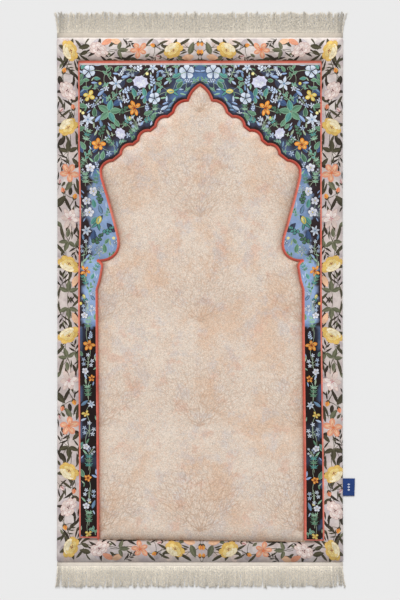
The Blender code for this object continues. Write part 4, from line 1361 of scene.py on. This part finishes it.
def tube(path, verts, faces, along, shade, dark, slub):       # one yarn, resting on the floor
    thick, thin, sides = fringe["yarnThick"], fringe["tipThick"], fringe["yarnSides"]
    ahead = np.gradient(path[:, :2], axis=0)
    across = np.stack((-ahead[:, 1], ahead[:, 0]), 1) / np.linalg.norm(ahead, axis=1)[:, None]
    first, last = len(verts), len(path) - 1
    for k, (point, side) in enumerate(zip(path, across)):
        t = k / last
        r = (thick + (thin - thick) * t) / 2 * (0.55 if k == last else 1.0)
        r *= 1 + fringe["slub"] * math.sin(slub + k * 1.9)
        for j in range(sides):
            a = fullTurn * (j + 0.5) / sides + 2.2 * t
            verts.append((point[0] + side[0] * r * math.cos(a), point[1] + side[1] * r * math.cos(a),
                          max(0.0, point[2] + thin / 2 + r * math.sin(a))))
            # painted shade towards each yarn's tip, deeper in the tufts
            along.append((t * 47.0, j / sides, shade * (1 - dark * max(0.0, (t - 0.6) / 0.4))))
    for a in range(first, first + last * sides, sides):
        for j in range(sides):
            i = (j + 1) % sides
            faces.append((a + j, a + i, a + sides + i, a + sides + j))
    faces.append(tuple(first + last * sides + j for j in range(sides)))
    faces.append(tuple(first + j for j in reversed(range(sides))))


def layTape(half, start, way, verts, faces, along):
    columns, n = fringe["ribs"] * 4, len(fringe["section"])
    for c in range(columns + 1):
        x = -half + 2 * half * c / columns
        rib = 1 - fringe["ribCut"] + fringe["ribCut"] * math.sin(fullTurn * c / 4 + 0.6)
        wave = 0.35 * math.sin(x / 23.0) + 0.2 * math.sin(x / 7.3)
        shade = 1 - fringe["endDark"] * math.exp((abs(x) - half) / fringe["endReach"])
        for depth, height in fringe["section"]:
            verts.append((x, start + depth * (fringe["tapeDepth"] - fringe["tapeTrim"]) + wave * depth,
                          height * fringe["tapeHeight"] * (rib if height > 0.3 else 1.0)))
            # a painted highlight along the foot tape's inner edge, beside the mat
            along.append((x, depth, shade * (1 + fringe["footLift"] * (way < 0) * math.exp(-depth / 0.35))))
    for a in range(0, columns * n, n):
        faces += [(a + k, a + n + k, a + n + (k + 1) % n, a + (k + 1) % n) for k in range(n)]
    faces.append(tuple(range(n)))
    faces.append(tuple(columns * n + k for k in reversed(range(n))))


def buildFringe(name, way, seed):
    rng = random.Random(seed)
    start = mat["length"] / 2 + fringe["gap"]
    half = mat["width"] / 2 - fringe["inset"]
    verts, faces, along = [], [], []
    layTape(half, start, way, verts, faces, along)
    tapeFaces, count = len(faces), fringe["yarns"]
    tufts = [-half + rng.uniform(8, 20)]      # where a few yarns get more painted shade at their tips, as in a parted lock's shadow
    while tufts[-1] < half:
        tufts.append(tufts[-1] + rng.uniform(*fringe["tuftEvery"]))
    k = 0
    while k < count:
        size = rng.randint(*fringe["lockYarns"])
        members = range(k, min(count, k + size))
        middle = -half + 2 * half * (sum(members) / len(members) + 0.5) / count
        lean = fringe["sway"] * math.sin(middle / 27.0 + 1.0) * 0.5 + rng.uniform(-1.6, 1.6)
        length = fringe["yarnLength"] + rng.uniform(-1, 1) * fringe["yarnVary"]
        for m in members:
            x = -half + 2 * half * (m + 0.5) / count + rng.uniform(-0.35, 0.35)
            out, corner = [max(0.0, (abs(x) - half + fringe[reach]) / fringe[reach])
                           for reach in ("flareReach", "cornerReach")]
            gather = fringe["gather"] + (fringe["cornerGather"] - fringe["gather"]) * corner
            inTuft = min(abs(x - spot) for spot in tufts) < fringe["tuftHalf"]
            toX = x + (middle - x) * gather + lean + math.copysign(fringe["flare"] * out ** 2, x)
            toX += rng.uniform(-0.8, 0.8)
            long = length * rng.uniform(0.93, 1.02) + 1.6 * inTuft
            path = yarnPath(x, start + fringe["tapeDepth"] - fringe["tucked"], toX, long, m % 3, rng)
            # near the corners some yarns are drawn darker: painted shade for the gaps between the locks there
            tube(path, verts, faces, along, rng.uniform(0.92 - fringe["cornerDark"] * corner, 1.05),
                 fringe["tuftDark"] if inTuft else fringe["tipDark"], rng.uniform(0, 6.28))
        k += size
    if way < 0:
        verts = [(x, -y, z) for x, y, z in verts]
        faces = [f[::-1] for f in faces]
    made, mesh = newPiece(name, verts, faces)
    setVectors(mesh, "along", "POINT", along)
    mesh.polygons.foreach_set("material_index", [0] * tapeFaces + [1] * (len(faces) - tapeFaces))
    return made


def twistedYarn():
    look = Look("twistedYarn", 0.9, 0.1)
    along, around, shade = look.fromMesh("along")
    twist = (along * 2.6 + around * (4 * math.pi)).sine()
    vary = look.noise(420.0, 3.0, 0.75).ranged(0.28, 0.72, 0.66, 1.22)
    broad = look.noise(14.0).ranged(0.3, 0.7, 0.95, 1.04)
    # random speckle, partly the yarn's own tone and partly painted shade for its crimp's small shadows; painted
    # shade down the twist's grooves; and the shade kept on the mesh for tips and corners
    shade = vary * broad * twist.ranged(-1.0, 1.0, 0.93, 1.05) * shade
    colour = look.scaled(tinted(fringe["tone"])[:3], shade)
    return look.finish(colour, twist, 0.6, 0.0003).material


yarnLook = twistedYarn()
for name, way, seed, node in (("headFringe", 1, 11, "fringe_head"), ("footFringe", -1, 23, "fringe_foot")):
    made = buildFringe(name, way, seed)
    # the foot's tape is the same tape, given a lighter tone as painted light against the shade the mat throws
    # on it
    tone = fringe["tapeTone"][way < 0]
    tapeLook = woven(name + "Tape", tone, *fringe["tapePitch"], 0.9, 0.0004, 0.12, "along")[0]
    made.data.materials.append(tapeLook.material)
    made.data.materials.append(yarnLook)
    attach(made, "root")
    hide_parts(node)
    print("rug:", name, "has", sum(len(f.vertices) - 2 for f in made.data.polygons), "triangles")

# the folded woven tab in the right-hand side seam, with a small lozenge figure
tab = {
    "reach": 27.2, "width": 40.0, "y": -429.0, "ply": 0.6, "gap": 0.5, "rows": 24, "tone": "1d3b78",
    "thread": 0.0007, "figure": "dfe6f2", "figureAt": 13.5, "lozenge": (0.0030, 0.0022), "lozengeHole": 0.42,
    "lozengePitch": 0.0062, "lozengeRow": 0.0186,
}


def buildTab():
    ply, gap, rows = tab["ply"], tab["gap"], tab["rows"]
    outer = ply + gap / 2
    fold = tab["reach"] - outer
    # the strip's outer side from its upper raw end round the fold to its lower one, and the way to its inner
    path = [(x, 2 * outer, 0.0, -ply) for x in np.linspace(0, fold, 24)]
    for a in np.linspace(math.pi / 2, -math.pi / 2, 9)[1:]:
        path.append((fold + outer * math.cos(a), outer + outer * math.sin(a),
                     -ply * math.cos(a), -ply * math.sin(a)))
    path += [(x, 0.0, 0.0, ply) for x in np.linspace(fold, 0, 12)[1:]]
    pull = mat["drawIn"] * (1 - (tab["y"] * 2 / mat["length"]) ** 4)
    left = mat["width"] / 2 - pull + 0.6
    verts, faces = [], []
    for j in range(rows + 1):
        across = j / rows - 0.5
        y = tab["y"] + across * tab["width"]
        for x, z, ix, iz in path:
            away = x / tab["reach"]
            lift = 0.25 * away * (1 + math.sin(across * 5 + 1.2)) * (z > outer)
            shift = 0.4 * math.sin(across * 3.0) * away
            verts += [(left + x + shift, y, z + lift), (left + x + shift + ix, y, z + lift + iz)]
    n = len(path)
    spot = lambda j, k, side: (j * n + k) * 2 + side
    for j in range(rows):
        for k in range(n - 1):
            faces.append((spot(j, k, 0), spot(j, k + 1, 0), spot(j + 1, k + 1, 0), spot(j + 1, k, 0)))
            faces.append((spot(j, k, 1), spot(j + 1, k, 1), spot(j + 1, k + 1, 1), spot(j, k + 1, 1)))
        for k in (0, n - 1):
            a, b, c, d = spot(j, k, 0), spot(j + 1, k, 0), spot(j + 1, k, 1), spot(j, k, 1)
            faces.append((a, b, c, d) if k == 0 else (a, d, c, b))
    for k in range(n - 1):
        faces.append((spot(0, k, 0), spot(0, k, 1), spot(0, k + 1, 1), spot(0, k + 1, 0)))
        faces.append((spot(rows, k, 0), spot(rows, k + 1, 0), spot(rows, k + 1, 1), spot(rows, k, 1)))
    return newPiece("sideTab", verts, faces)[0], left


sideTab, tabLeft = buildTab()
tabLook, colour, x, y = woven("navyDamask", tab["tone"], tab["thread"], tab["thread"], 0.6, 0.0002, 0.14)
fromMiddle = y - tab["y"] / 1000
halfPitch = tab["lozengePitch"] / 2
inLozenge = fromMiddle.math("WRAP", halfPitch, -halfPitch).size() / tab["lozenge"][1]
inLozenge = (x - (tabLeft + tab["figureAt"]) / 1000).size() / tab["lozenge"][0] + inLozenge
figure = inLozenge.math("LESS_THAN", 1.0) * inLozenge.math("GREATER_THAN", tab["lozengeHole"])
figure = figure * fromMiddle.size().math("LESS_THAN", tab["lozengeRow"] / 2)
tabLook.put(tabLook.blended(figure, colour, tinted(tab["figure"])), tabLook.shader.inputs["Base Color"])
sideTab.data.materials.append(tabLook.material)
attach(sideTab, "root")
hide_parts("side_tab")
print("rug: side tab done")

# pale floor, a soft lamp beyond the head, and even fill from all round
studio = {
    "floor": 0.80, "floorHalf": 8, "floorDrop": 0.0004, "fill": 0.52, "lamp": 2.42, "lampHeight": 42.0,
    "lampTurn": 5.0, "lampSoft": 40.0, "cameraHeight": 6.0, "cameraY": -0.0006, "frameLength": 1.374,
}


def buildStudio():
    far = studio["floorHalf"]
    mesh = bpy.data.meshes.new("paleFloor")
    mesh.from_pydata([(-far, -far, 0), (far, -far, 0), (far, far, 0), (-far, far, 0)], [], [(0, 1, 2, 3)])
    floor = placed("paleFloor", mesh)
    floor.location.z = -studio["floorDrop"]
    look = Look("paleFloor", 0.95)
    look.shader.inputs["Base Color"].default_value = (studio["floor"],) * 3 + (1.0,)
    mesh.materials.append(look.material)
    world = bpy.data.worlds.new("softRoom")
    world.use_nodes = True
    world.node_tree.nodes["Background"].inputs["Color"].default_value = (1.0, 1.0, 1.0, 1.0)
    world.node_tree.nodes["Background"].inputs["Strength"].default_value = studio["fill"]
    bpy.context.scene.world = world
    lamp = bpy.data.lights.new("softLamp", "SUN")
    lamp.energy = studio["lamp"]
    lamp.angle = math.radians(studio["lampSoft"])
    turn = (math.radians(studio["lampHeight"] - 90), 0, math.radians(studio["lampTurn"]))
    placed("softLamp", lamp).rotation_euler = turn
    camera = bpy.data.cameras.new("photoCamera")
    camera.lens = camera.sensor_width * studio["cameraHeight"] / studio["frameLength"]
    camera.clip_end = 50
    bpy.context.scene.camera = placed("photoCamera", camera)
    bpy.context.scene.camera.location = (0.0, studio["cameraY"], studio["cameraHeight"])


buildStudio()
bpy.context.scene.view_settings.view_transform = "Standard"
print("rug: scene done")
